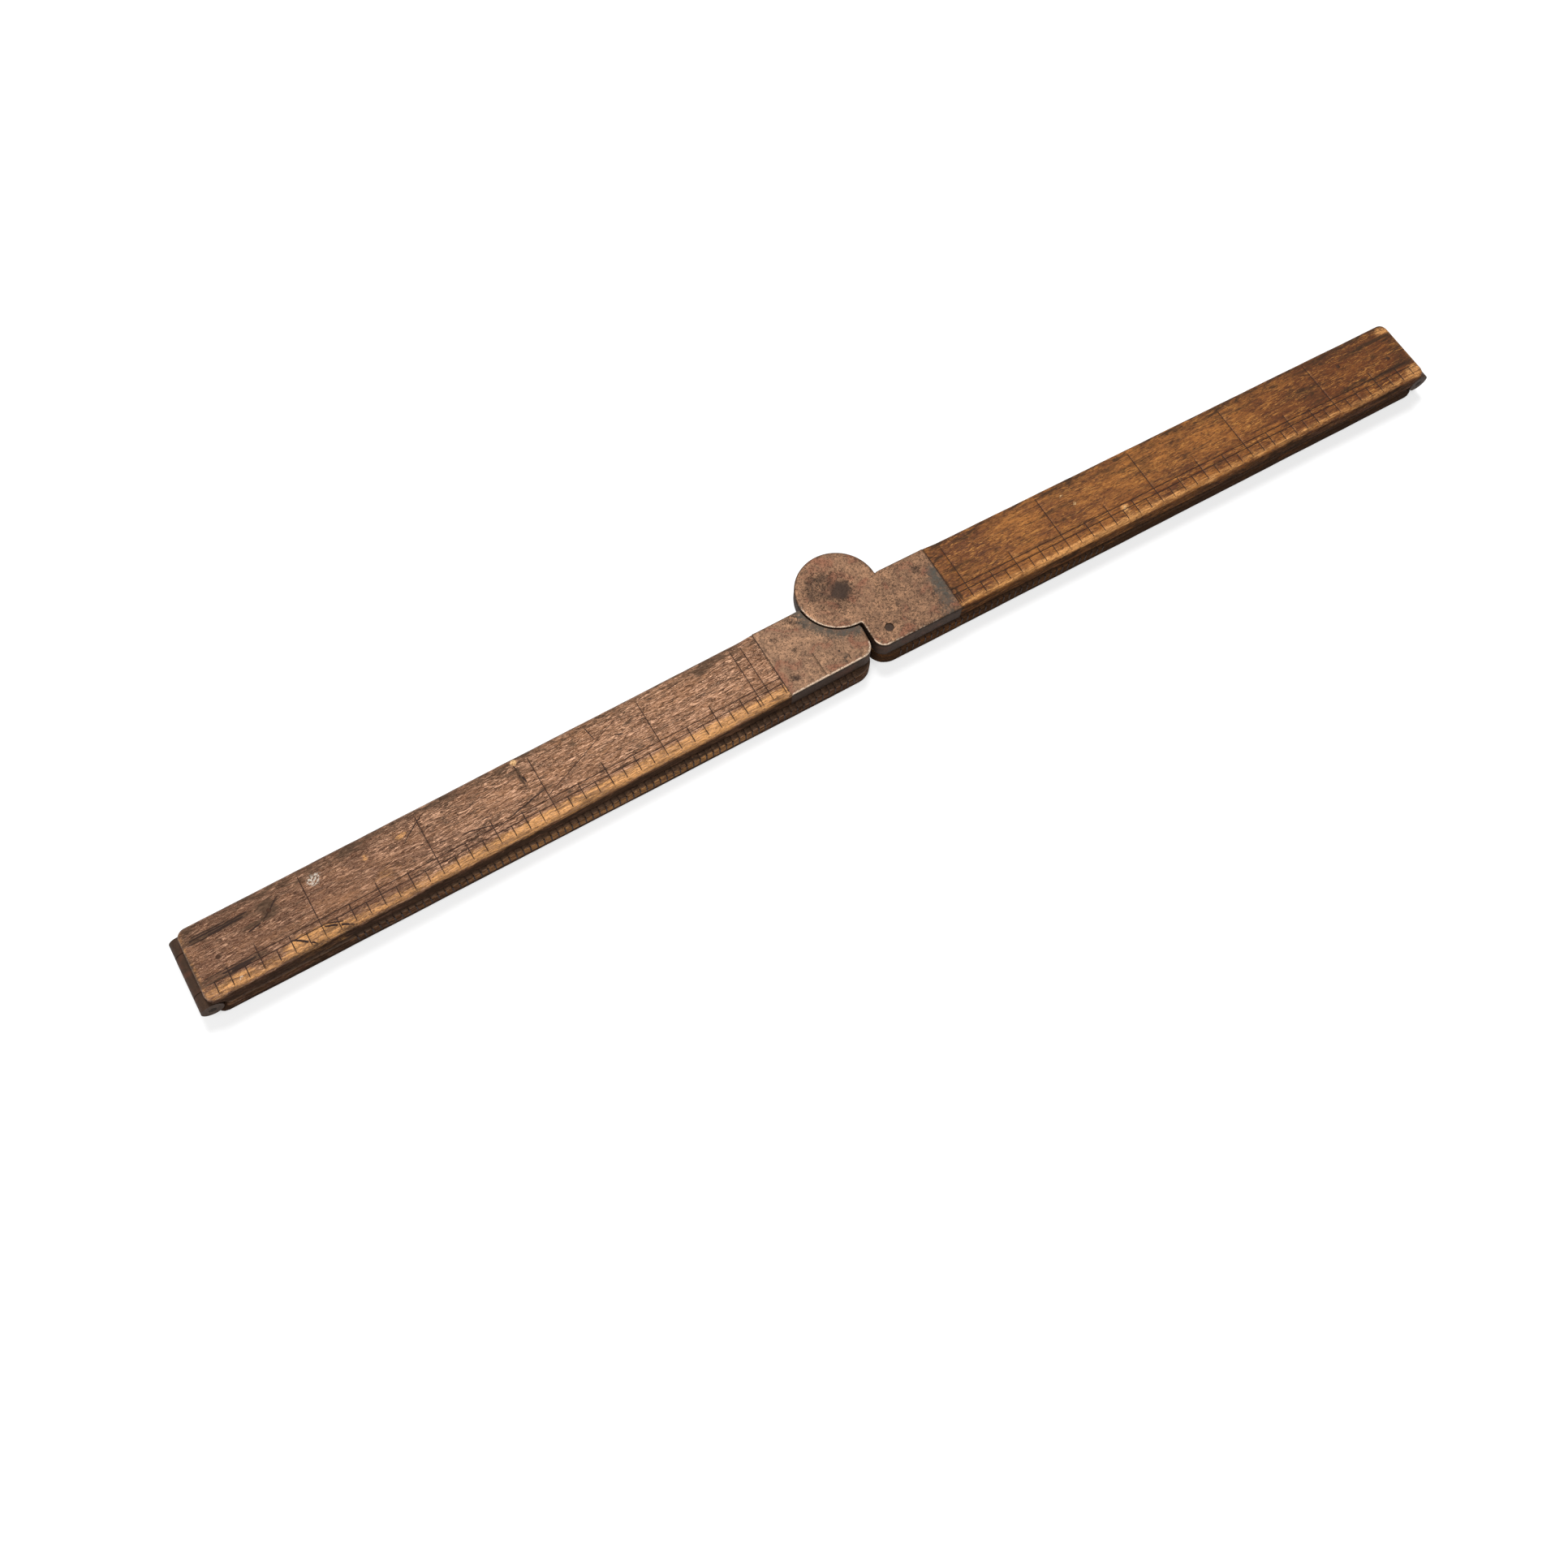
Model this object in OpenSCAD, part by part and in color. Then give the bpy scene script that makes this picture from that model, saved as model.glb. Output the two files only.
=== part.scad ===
// Four-fold wooden rule with a round-headed brass joint, in millimetres.
// The middle joint is open and both outer limbs are folded flat under the inner ones.
// +X runs along the rule, +Y towards the round head, +Z up. The origin lies on the plane that the rule
// rests on, on the line where the two arms meet, half way across their width.

/* [Limbs] */
// Length of each limb, a quarter of the opened rule
limb_len = 152.4; // [120:0.1:200]
// Width of the two inner limbs
limb_w = 16.8; // [15:0.1:22]
// Width of the two outer limbs
outer_w = 16.4; // [14.6:0.1:21.6]
// Thickness of each limb
limb_t = 4.4; // [4:0.1:6]
// Rounding along the long edges of the wood
edge_r = 1; // [0.4:0.1:1.6]
// Rounding of the corners at the folds, seen from above
fold_corner_r = 2; // [1:0.1:3.5]
// Rounding of the outer limbs' corners at their free ends
tip_corner_r = 4.5; // [2:0.1:6]
// Air between each free end and the line where the arms meet
tip_gap = 0.4; // [0.4:0.1:1.5]
// Air between an inner limb and the outer limb folded under it
layer_gap = 0.3; // [0.2:0.05:0.6]
// How far the left outer limb sits askew on its fold, in degrees
left_skew = 0.6; // [0:0.1:0.8]
// How far the right outer limb sits askew on its fold, in degrees
right_skew = 0.25; // [0:0.05:0.8]

/* [Middle joint] */
// Radius of the round heads and of the middle leaf's disc
head_r = 9.4; // [8.4:0.1:11]
// Air between the two arms when they lie side by side
shut_gap = 0.3; // [0.2:0.05:0.8]
// How far past straight the joint opens, in degrees
over_open = 1.1; // [0:0.1:1.5]
// Length of the brass plates from the line where the arms meet
plate_len = 21.6; // [19:0.1:28]
// Thickness of each outer brass plate
plate_t = 0.95; // [0.7:0.05:1.3]
// Length of the solid brass leaf between the plates
leaf_len = 13.5; // [12.4:0.1:15]
// Running clearance on each face of the middle leaf's disc
disc_clear = 0.1; // [0.05:0.01:0.2]
// Air round the discs
arc_gap = 0.35; // [0.3:0.05:0.6]
// Thickness of the brass strips along both edges
edge_plate_t = 0.8; // [0.5:0.1:1.4]
// Bevel along the outer edges of the plates
bevel = 0.4; // [0.2:0.05:0.6]
// Rounding of the left plates' front corner beside the slit
left_corner_r = 3; // [1.5:0.1:3.5]
// Rounding of the right plates' front corner beside the slit
right_corner_r = 2.5; // [1.5:0.1:3.5]
// How far the left plates end short of the line where the arms meet, at the foot of the disc
left_end_in = 0.1; // [0.1:0.05:0.6]
// Slant of the left plates' end, in degrees
left_end_slant = 5; // [0:0.5:7]
// How far the right plates end short of that line
right_end_in = 0.7; // [0.7:0.05:1.4]
// Radius of the pivot's shank
pivot_r = 1.6; // [1.2:0.1:2.2]
// How much wider than its shank the pivot's countersunk head is
pivot_flare = 0.5; // [0.2:0.05:0.6]
// Running clearance round the pivot's shank
pivot_clear = 0.05; // [0.02:0.01:0.1]
// Radius of the plates' rivets
rivet_r = 0.75; // [0.5:0.05:0.9]
// How much wider than its shank a rivet's countersunk head is
rivet_flare = 0.25; // [0.1:0.05:0.3]

/* [Fold hinges] */
// Radius of the knuckles
barrel_r = 2.3; // [1.8:0.1:2.6]
// How far the barrel stops short of the outer limb's edges
barrel_in = 0.15; // [0.1:0.05:0.6]
// Width of the middle knuckle and its strap
strap_w = 8.9; // [7:0.1:9.4]
// Air between neighbouring knuckles
knuckle_gap = 0.15; // [0.1:0.05:0.3]
// Radius of the hinge pin
hinge_pin_r = 0.8; // [0.6:0.05:1]
// Running clearance of the middle knuckle on its pin
hinge_clear = 0.05; // [0.02:0.01:0.1]
// Thickness of the hinge leaves
hinge_leaf_t = 1.2; // [0.8:0.05:1.3]
// Length of the hinge leaves from the pin
hinge_leaf_len = 21; // [20:0.5:30]
// How much narrower than the outer limb its forked leaf is
fork_in = 3; // [2.4:0.1:4]
// Air round the barrel in the hollowed ends of the wood
cove_gap = 0.25; // [0.2:0.05:0.5]
// How far the wood stops short of the fold line
end_in = 0.2; // [0.15:0.05:0.5]
// Radius of the pins that hold the hinge leaves
leaf_pin_r = 0.6; // [0.4:0.05:0.8]

/* [Hidden] */
$fn = 64;

// Keeps a cut clear of the faces that it crosses
over = 1;
// Clearance of a piece in the slot, bore or countersink that it is fixed in
seat = 0.02;

// Heights of the layers, from the surface that the rule rests on
inner_z = limb_t + layer_gap;
fold_z = limb_t + layer_gap / 2;
core_z = inner_z + plate_t;
core_t = limb_t - 2 * plate_t;

// The pivot stands just outside the arms' back edge, at the middle of the round heads
half_w = limb_w / 2;
pivot_y = half_w + shut_gap / 2;
disc_foot_y = pivot_y - head_r;

// Rivets through the left plates, then through the right plates, seen from above
rivet_edge = 1.8;
left_rivets = [
    [-2.7, disc_foot_y - arc_gap - 1.5],
    [-6.7, -half_w + rivet_edge],
    [2.3 - leaf_len, 4.7],
    [-leaf_len - 2.1, 0.5],
    [3.2 - plate_len, half_w - 2 * rivet_edge],
    [2.7 - plate_len, -half_w + 1.8 * rivet_edge]
];
right_rivets = [
    [5.2, -half_w + 2 * rivet_edge],
    [leaf_len - 1.5, -half_w + rivet_edge],
    [leaf_len - 2.6, 2.6],
    [plate_len - 4.2, half_w - 2.3 * rivet_edge],
    [plate_len - 4, -half_w + 2.2 * rivet_edge]
];

// Undersides of the inner and the outer limb, measured from the fold line
upper_z = layer_gap / 2;
lower_z = -layer_gap / 2 - limb_t;

// Half widths of the barrel, of the forked leaf and of the notch between its knuckles
barrel_half = outer_w / 2 - barrel_in;
fork_half = (outer_w - fork_in) / 2;
notch_half = strap_w / 2 + knuckle_gap;

// Pins through each hinge leaf: distance from the fold and offset across the limb
leaf_pins = [[5.8, -0.6], [17.9, 3.2]];

// Puts the right arm past straight, about the pivot
module right_arm() {
    translate([0, pivot_y, 0])
        rotate([0, 0, -over_open])
            translate([0, -pivot_y, 0])
                children();
}

// Section across a limb, with worn edges, standing on z = 0
module limb_section(w) {
    translate([-w / 2 + edge_r, 0])
        square([w - 2 * edge_r, limb_t]);
    translate([-w / 2, edge_r])
        square([w, limb_t - 2 * edge_r]);
    for (y = [-1, 1], z = [edge_r, limb_t - edge_r])
        translate([y * (w / 2 - edge_r), z])
            circle(r = edge_r);
}

// Outline from above of a limb from x = 0 to x = len, rounded at the start and, where asked for, at the end
module limb_outline(len, w, r_start, r_end) {
    difference() {
        translate([0, -w / 2])
            square([len, w]);
        for (y = [-w / 2, w / 2]) {
            translate([0, y])
                square(2 * r_start, center = true);
            if (r_end > 0)
                translate([len, y])
                    square(2 * r_end, center = true);
        }
    }
    for (y = [-1, 1]) {
        translate([r_start, y * (w / 2 - r_start)])
            circle(r = r_start);
        if (r_end > 0)
            translate([len - r_end, y * (w / 2 - r_end)])
                circle(r = r_end);
    }
}

// A plain limb from x = 0 to x = len
module limb_blank(len, w, r_start, r_end = 0) {
    intersection() {
        rotate([90, 0, 90])
            linear_extrude(len)
                limb_section(w);
        linear_extrude(limb_t)
            limb_outline(len, w, r_start, r_end);
    }
}

// A rivet with a countersunk head at each end, through the thickness of an inner arm
module rivet(r, flare) {
    translate([0, 0, inner_z])
        rotate_extrude()
            polygon([
                [0, 0],
                [r + flare, 0],
                [r, flare],
                [r, limb_t - flare],
                [r + flare, limb_t],
                [0, limb_t]
            ]);
}

// The hole for such a rivet, run on past both faces
module rivet_hole(r, flare) {
    rivet(r + seat, flare);
    for (z = [inner_z - over, inner_z + limb_t])
        translate([0, 0, z])
            cylinder(r = r + flare + seat, h = over);
}

module rivets(places) {
    for (p = places)
        translate([p[0], p[1], 0])
            rivet(rivet_r, rivet_flare);
}

module rivet_holes(places) {
    for (p = places)
        translate([p[0], p[1], 0])
            rivet_hole(rivet_r, rivet_flare);
}

// Fold line of a hinge: the pin's axis runs along +Y through the origin, the wood lies towards +X
module fold_cove() {
    rotate([90, 0, 0])
        cylinder(r = barrel_r + cove_gap, h = limb_w + 2 * over, center = true);
}

module knuckle(y0, y1) {
    translate([0, y1, 0])
        rotate([90, 0, 0])
            cylinder(r = barrel_r, h = y1 - y0);
}

module knuckle_bore(r) {
    rotate([90, 0, 0])
        cylinder(r = r, h = limb_w + 2 * over, center = true);
}

// Pins of one hinge leaf through the limb whose underside is at z0
module leaf_pin_set(z0) {
    for (p = leaf_pins)
        translate([p[0], p[1], z0])
            cylinder(r = leaf_pin_r, h = limb_t);
}

module leaf_pin_holes(z0) {
    for (p = leaf_pins)
        translate([p[0], p[1], z0 - over])
            cylinder(r = leaf_pin_r + seat, h = limb_t + 2 * over);
}

// Strap leaf of an inner limb, above the fold line
module strap_leaf() {
    difference() {
        union() {
            knuckle(-strap_w / 2, strap_w / 2);
            translate([0, -strap_w / 2, barrel_r - hinge_leaf_t])
                cube([hinge_leaf_len, strap_w, hinge_leaf_t]);
        }
        knuckle_bore(hinge_pin_r + hinge_clear);
        leaf_pin_holes(upper_z);
    }
}

module strap_slot() {
    translate([0, -strap_w / 2 - seat, barrel_r - hinge_leaf_t - seat])
        cube([hinge_leaf_len + seat, strap_w + 2 * seat, hinge_leaf_t + 2 * seat]);
    leaf_pin_holes(upper_z);
}

// Forked leaf of an outer limb, below the fold line
module fork_leaf() {
    difference() {
        union() {
            knuckle(notch_half, barrel_half);
            knuckle(-barrel_half, -notch_half);
            translate([0, -fork_half, -barrel_r])
                cube([hinge_leaf_len, 2 * fork_half, hinge_leaf_t]);
        }
        translate([-barrel_r - over, -notch_half, -barrel_r - over])
            cube([2 * barrel_r + cove_gap + over, 2 * notch_half, 2 * (barrel_r + over)]);
        knuckle_bore(hinge_pin_r + seat);
        leaf_pin_holes(lower_z);
    }
}

module fork_slot() {
    translate([0, -fork_half - seat, -barrel_r - seat])
        cube([hinge_leaf_len + seat, 2 * (fork_half + seat), hinge_leaf_t + 2 * seat]);
    leaf_pin_holes(lower_z);
}

module hinge_pin() {
    rotate([90, 0, 0])
        cylinder(r = hinge_pin_r, h = 2 * barrel_half, center = true);
}

// Places what is modelled round a fold line at the left fold or at the right one
module left_fold() {
    translate([-limb_len, 0, fold_z])
        children();
}

module right_fold() {
    right_arm()
        translate([limb_len, 0, fold_z])
            mirror([1, 0, 0])
                children();
}

// Inner limb up to the joint's plates, with its tenon, from the fold line at x = 0 towards +X
module inner_limb() {
    body_len = limb_len - plate_len - end_in;
    tenon_len = plate_len - leaf_len;
    tenon_w = limb_w - 2 * edge_plate_t;
    difference() {
        union() {
            translate([end_in, 0, upper_z])
                limb_blank(body_len, limb_w, fold_corner_r);
            translate([end_in + body_len - over, -tenon_w / 2, core_z - fold_z])
                cube([tenon_len + over, tenon_w, core_t]);
        }
        fold_cove();
        strap_slot();
    }
}

// Outer limb from the fold line at x = 0 towards +X, turned a little on its hinge
module outer_limb(skew) {
    difference() {
        rotate([0, 0, skew])
            translate([end_in, 0, lower_z])
                limb_blank(limb_len - tip_gap - end_in, outer_w, fold_corner_r, tip_corner_r);
        fold_cove();
        fork_slot();
    }
}

module left_limb() {
    color("peru")
        difference() {
            left_fold()
                inner_limb();
            rivet_holes(left_rivets);
        }
}

module right_limb() {
    color("goldenrod")
        difference() {
            right_fold()
                inner_limb();
            right_arm()
                rivet_holes(right_rivets);
        }
}

module left_outer_limb() {
    color("sienna")
        left_fold()
            outer_limb(-left_skew);
}

module right_outer_limb() {
    color("sienna")
        right_fold()
            outer_limb(-right_skew);
}

// Outline of the left plates and leaf, up to a slanted end with one rounded corner
module left_plan(len) {
    slope = tan(left_end_slant);
    centre_y = -half_w + left_corner_r;
    end_x = -left_end_in + (centre_y - disc_foot_y) * slope;
    centre = [end_x - left_corner_r / cos(left_end_slant), centre_y];
    corner = centre + left_corner_r * [cos(left_end_slant), -sin(left_end_slant)];
    polygon([
        [-len, -half_w],
        [centre[0], -half_w],
        corner,
        [-left_end_in, disc_foot_y],
        [-left_end_in, half_w],
        [-len, half_w]
    ]);
    translate(centre)
        circle(r = left_corner_r);
}

// Outline of the right plates and leaf, with a square end and one rounded corner
module right_plan(len) {
    difference() {
        translate([right_end_in, -half_w])
            square([len - right_end_in, limb_w]);
        translate([right_end_in - over, -half_w - over])
            square(right_corner_r + over);
    }
    translate([right_end_in + right_corner_r, -half_w + right_corner_r])
        circle(r = right_corner_r);
}

module disc_plan(r) {
    translate([0, pivot_y])
        circle(r = r);
}

// Turns a plate that is modelled for the upper face over to the lower face
module lower_face() {
    translate([0, 0, 2 * inner_z + limb_t])
        mirror([0, 0, 1])
            children();
}

// A bar on the upper face with both long edges bevelled, to shape the plates with
module bevelled_bar() {
    translate([-plate_len - over, 0, inner_z + limb_t])
        rotate([90, 0, 90])
            linear_extrude(2 * (plate_len + over))
                polygon([
                    [-half_w, -plate_t],
                    [half_w, -plate_t],
                    [half_w, -bevel],
                    [half_w - bevel, 0],
                    [bevel - half_w, 0],
                    [-half_w, -bevel]
                ]);
}

// A round head on the upper face
module round_head() {
    translate([0, pivot_y, inner_z + limb_t])
        rotate_extrude()
            polygon([
                [0, -plate_t],
                [head_r, -plate_t],
                [head_r, -bevel],
                [head_r - bevel, 0],
                [0, 0]
            ]);
}

module left_cheek() {
    intersection() {
        bevelled_bar();
        translate([0, 0, inner_z])
            linear_extrude(limb_t)
                difference() {
                    left_plan(plate_len);
                    disc_plan(head_r + arc_gap);
                }
    }
}

module left_cheek_top() {
    color("tan")
        difference() {
            left_cheek();
            rivet_holes(left_rivets);
        }
}

module left_cheek_bottom() {
    color("tan")
        difference() {
            lower_face()
                left_cheek();
            rivet_holes(left_rivets);
        }
}

// Disc between the round heads, with a full-thickness body between the cheek plates
module middle_leaf() {
    color("darkkhaki")
        difference() {
            union() {
                translate([0, 0, core_z])
                    linear_extrude(core_t)
                        difference() {
                            left_plan(leaf_len);
                            disc_plan(head_r + arc_gap);
                        }
                translate([0, 0, core_z + disc_clear])
                    linear_extrude(core_t - 2 * disc_clear) {
                        left_plan(leaf_len);
                        disc_plan(head_r);
                    }
            }
            translate([0, pivot_y, core_z - over])
                cylinder(r = pivot_r + pivot_clear, h = core_t + 2 * over);
            rivet_holes(left_rivets);
        }
}

module head_plate() {
    round_head();
    intersection() {
        bevelled_bar();
        translate([0, 0, inner_z])
            linear_extrude(limb_t)
                right_plan(plate_len);
    }
}

module head_plate_holes() {
    rivet_holes(right_rivets);
    translate([0, pivot_y, 0])
        rivet_hole(pivot_r, pivot_flare);
}

module head_plate_top() {
    color("tan")
        right_arm()
            difference() {
                head_plate();
                head_plate_holes();
            }
}

module head_plate_bottom() {
    color("tan")
        right_arm()
            difference() {
                lower_face()
                    head_plate();
                head_plate_holes();
            }
}

module filler_leaf() {
    color("darkkhaki")
        right_arm()
            difference() {
                translate([0, 0, core_z])
                    linear_extrude(core_t)
                        difference() {
                            right_plan(leaf_len);
                            disc_plan(head_r + arc_gap);
                        }
                rivet_holes(right_rivets);
            }
}

// Strips along both edges of a tenon, between the plates
module edge_plates() {
    for (y = [-half_w, half_w - edge_plate_t])
        translate([leaf_len, y, core_z])
            cube([plate_len - leaf_len, edge_plate_t, core_t]);
}

module left_edge_plates() {
    color("darkkhaki")
        mirror([1, 0, 0])
            edge_plates();
}

module right_edge_plates() {
    color("darkkhaki")
        right_arm()
            edge_plates();
}

module left_plate_rivets() {
    color("gray")
        rivets(left_rivets);
}

module right_plate_rivets() {
    color("gray")
        right_arm()
            rivets(right_rivets);
}

module joint_pivot() {
    color("gray")
        translate([0, pivot_y, 0])
            rivet(pivot_r, pivot_flare);
}

module left_strap_leaf() {
    color("darkkhaki")
        left_fold()
            strap_leaf();
}

module right_strap_leaf() {
    color("darkkhaki")
        right_fold()
            strap_leaf();
}

module left_fork_leaf() {
    color("tan")
        left_fold()
            fork_leaf();
}

module right_fork_leaf() {
    color("tan")
        right_fold()
            fork_leaf();
}

module left_strap_pins() {
    color("dimgray")
        left_fold()
            leaf_pin_set(upper_z);
}

module right_strap_pins() {
    color("dimgray")
        right_fold()
            leaf_pin_set(upper_z);
}

module left_fork_pins() {
    color("dimgray")
        left_fold()
            leaf_pin_set(lower_z);
}

module right_fork_pins() {
    color("dimgray")
        right_fold()
            leaf_pin_set(lower_z);
}

module left_hinge_pin() {
    color("gray")
        left_fold()
            hinge_pin();
}

module right_hinge_pin() {
    color("gray")
        right_fold()
            hinge_pin();
}

left_limb();
right_limb();
left_outer_limb();
right_outer_limb();
left_cheek_top();
left_cheek_bottom();
middle_leaf();
left_edge_plates();
left_plate_rivets();
head_plate_top();
head_plate_bottom();
filler_leaf();
right_edge_plates();
right_plate_rivets();
joint_pivot();
left_strap_leaf();
left_strap_pins();
left_fork_leaf();
left_fork_pins();
left_hinge_pin();
right_strap_leaf();
right_strap_pins();
right_fork_leaf();
right_fork_pins();
right_hinge_pin();
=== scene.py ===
import math
import random

import bpy
import numpy as np
from mathutils import Matrix, Vector, noise
from mathutils.geometry import delaunay_2d_cdt


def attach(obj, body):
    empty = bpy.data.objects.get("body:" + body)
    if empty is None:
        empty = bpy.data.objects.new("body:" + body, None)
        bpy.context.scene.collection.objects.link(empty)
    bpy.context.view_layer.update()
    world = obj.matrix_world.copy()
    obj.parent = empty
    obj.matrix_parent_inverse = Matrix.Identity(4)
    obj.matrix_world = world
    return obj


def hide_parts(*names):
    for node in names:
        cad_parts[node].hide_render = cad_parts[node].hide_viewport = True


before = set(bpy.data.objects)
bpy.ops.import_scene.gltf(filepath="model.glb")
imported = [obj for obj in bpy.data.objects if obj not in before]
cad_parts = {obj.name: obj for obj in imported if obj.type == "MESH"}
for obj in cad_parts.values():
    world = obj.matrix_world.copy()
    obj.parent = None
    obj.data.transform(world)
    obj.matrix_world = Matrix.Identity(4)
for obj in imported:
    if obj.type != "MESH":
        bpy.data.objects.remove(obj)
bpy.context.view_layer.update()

bl_info = {
    "name": "Folding rule",
    "version": (1, 0, 0),
    "blender": (4, 5, 0),
    "location": "3D View > Sidebar > Rule",
    "description": "Dresses a four-fold wooden rule with a round-headed brass joint",
    "category": "Object",
}

# Sizes that the frame fixes, in millimetres
MM = 0.001
EIGHTH = 25.4 / 8
LIMB_LEN = 152.4
LIMB_W = 16.8
OUTER_W = 16.4
LIMB_T = 4.4
INNER_Z = 4.7
TOP = INNER_Z + LIMB_T
FOLD_Z = 4.55
PIVOT_Y = 8.55
HEAD_R = 9.395
HOLLOW_R = 9.75
PLATE_LEN = 21.6
PLATE_T = 0.95
SLIT_Y = PIVOT_Y - HEAD_R
INNER_END = LIMB_LEN - PLATE_LEN
OUTER_END = LIMB_LEN - 0.4
COVE_R = 2.55
FOLD_CORNER = 2.0
TIP_CORNER = 4.5
OVER_OPEN = math.radians(1.1)
LEFT_SKEW = math.radians(0.6)
RIGHT_SKEW = math.radians(0.25)
LEAF_PINS = ((5.8, -0.6), (17.9, 3.2))
LEFT_RIVETS = ((-2.7, -2.7), (-6.7, -6.6), (-11.2, 4.7), (-15.6, 0.5), (-18.4, 4.8), (-18.9, -5.16))
RIGHT_RIVETS = ((5.2, -4.8), (12.0, -6.6), (10.9, 2.6), (17.4, 4.26), (17.6, -4.44))

# Sizes of the details, in millimetres
FOLD_START = 0.2
END_ROUND = 0.9
SCORED_LINES = (3.5, 4.88)
SCORE_HALF = 0.11
HOLE_SIDES = 24
RIVET_HOLE = (1.03, 0.77)
PIVOT_HOLE = (2.13, 1.63)

# The camera that the photograph's own inch lines give
CAMERA_AT = (-0.09986, -0.1170, 0.2868)
CAMERA_RIGHT = (0.85664, -0.51480, 0.03375)
CAMERA_UP = (0.46607, 0.80029, 0.37725)
CAMERA_LENS = 33.56


def rotated(points, angle, centre_y=0.0):
    """Points turned in the plan about (0, centre_y)."""
    p = np.asarray(points, float).copy()
    c, s = math.cos(angle), math.sin(angle)
    x, y = p[:, 0].copy(), p[:, 1] - centre_y
    p[:, 0] = x * c - y * s
    p[:, 1] = x * s + y * c + centre_y
    return p


def turned(points):
    """Millimetre points of the right arm's own frame, put past straight about the pivot."""
    return rotated(points, -OVER_OPEN, PIVOT_Y)


def place(points, right, outer):
    """Points laid out from a limb's fold, put at that fold in the frame."""
    skew = (RIGHT_SKEW if right else LEFT_SKEW) if outer else 0
    p = rotated(points, -skew)
    if right:
        p[:, 0] = LIMB_LEN - p[:, 0]
        return turned(p)
    p[:, 0] -= LIMB_LEN
    return p


def ramp(low, high, value):
    t = np.clip((np.asarray(value, float) - low) / (high - low), 0, 1)
    return t * t * (3 - 2 * t)


def wander(values, seed, scale):
    """Smooth noise from -1 to 1 along a line."""
    return np.array([noise.noise(Vector((v / scale, seed * 7.31, 3.7))) for v in np.ravel(values)])


def relief(points, seed, stretch):
    """Noise from -1 to 1 at millimetre points, with its own stretch along each axis."""
    q = np.asarray(points, float) / np.asarray(stretch, float) + seed * 11.7
    return np.array([noise.noise(Vector(v)) for v in q])


# Meshes

def new_object(name, points, faces, edges=()):
    """A linked mesh object from millimetre points."""
    mesh = bpy.data.meshes.new(name)
    points = (np.asarray(points, float) * MM).tolist()
    mesh.from_pydata(points, list(edges), [list(map(int, f)) for f in faces])
    obj = bpy.data.objects.new(name, mesh)
    bpy.context.scene.collection.objects.link(obj)
    return obj


def shade(mesh, sharp):
    """Smooth shading, broken where faces meet at more than so many degrees."""
    mesh.polygons.foreach_set("use_smooth", [True] * len(mesh.polygons))
    mesh.set_sharp_from_angle(angle=math.radians(sharp))


def masked_object(name, points, faces, materials, masks, sharp, second=None):
    """A finished mesh with its masks as point attributes. Faces that second marks take the second finish."""
    obj = new_object(name, points, faces)
    mesh = obj.data
    for mask, values in masks.items():
        mesh.attributes.new(mask, "FLOAT", "POINT").data.foreach_set("value", np.asarray(values, np.float32))
    shade(mesh, sharp)
    for material in materials:
        mesh.materials.append(bpy.data.materials[material])
    if second is not None:
        mesh.polygons.foreach_set("material_index", np.asarray(second, np.int32))
    mesh.validate()
    return obj


def hand_over(piece, body, node=None):
    """Lets a piece ride its body, and stand for its node if it has one."""
    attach(piece, body)
    if node:
        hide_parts(node)


def box_grid(nx, ny, nz):
    """Grid places on the surface of a box, and its outward quads."""
    shell = np.zeros((nx, ny, nz), bool)
    shell[[0, -1]] = True
    shell[:, [0, -1]] = True
    shell[:, :, [0, -1]] = True
    where = np.argwhere(shell)
    ids = -np.ones((nx, ny, nz), int)
    ids[tuple(where.T)] = np.arange(len(where))
    quads = []
    sides = (
        (ids[:, :, -1], False), (ids[:, :, 0], True), (ids[:, 0, :], False),
        (ids[:, -1, :], True), (ids[0], True), (ids[-1], False),
    )
    for block, flip in sides:
        q = np.stack([block[:-1, :-1], block[1:, :-1], block[1:, 1:], block[:-1, 1:]], -1).reshape(-1, 4)
        quads.append(q[:, ::-1] if flip else q)
    return where, np.concatenate(quads)


def grid_lines(low, high, step, cuts, half):
    """Grid lines from low to high, with three at each cut, and none too near them."""
    fixed = np.array(sorted(c + d for c in cuts for d in (-half, 0, half)))
    free = np.linspace(low, high, max(2, int(round((high - low) / step)) + 1))
    if len(fixed):
        near = np.abs(free[:, None] - fixed[None, :]).min(1) < half * 1.4
        near[[0, -1]] = False
        free = free[~near]
    return np.unique(np.concatenate([free, fixed]).round(5))


ARC = np.radians([45, 30, 15, 0])
WALL = np.radians([45, 62, 80, 90])


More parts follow.
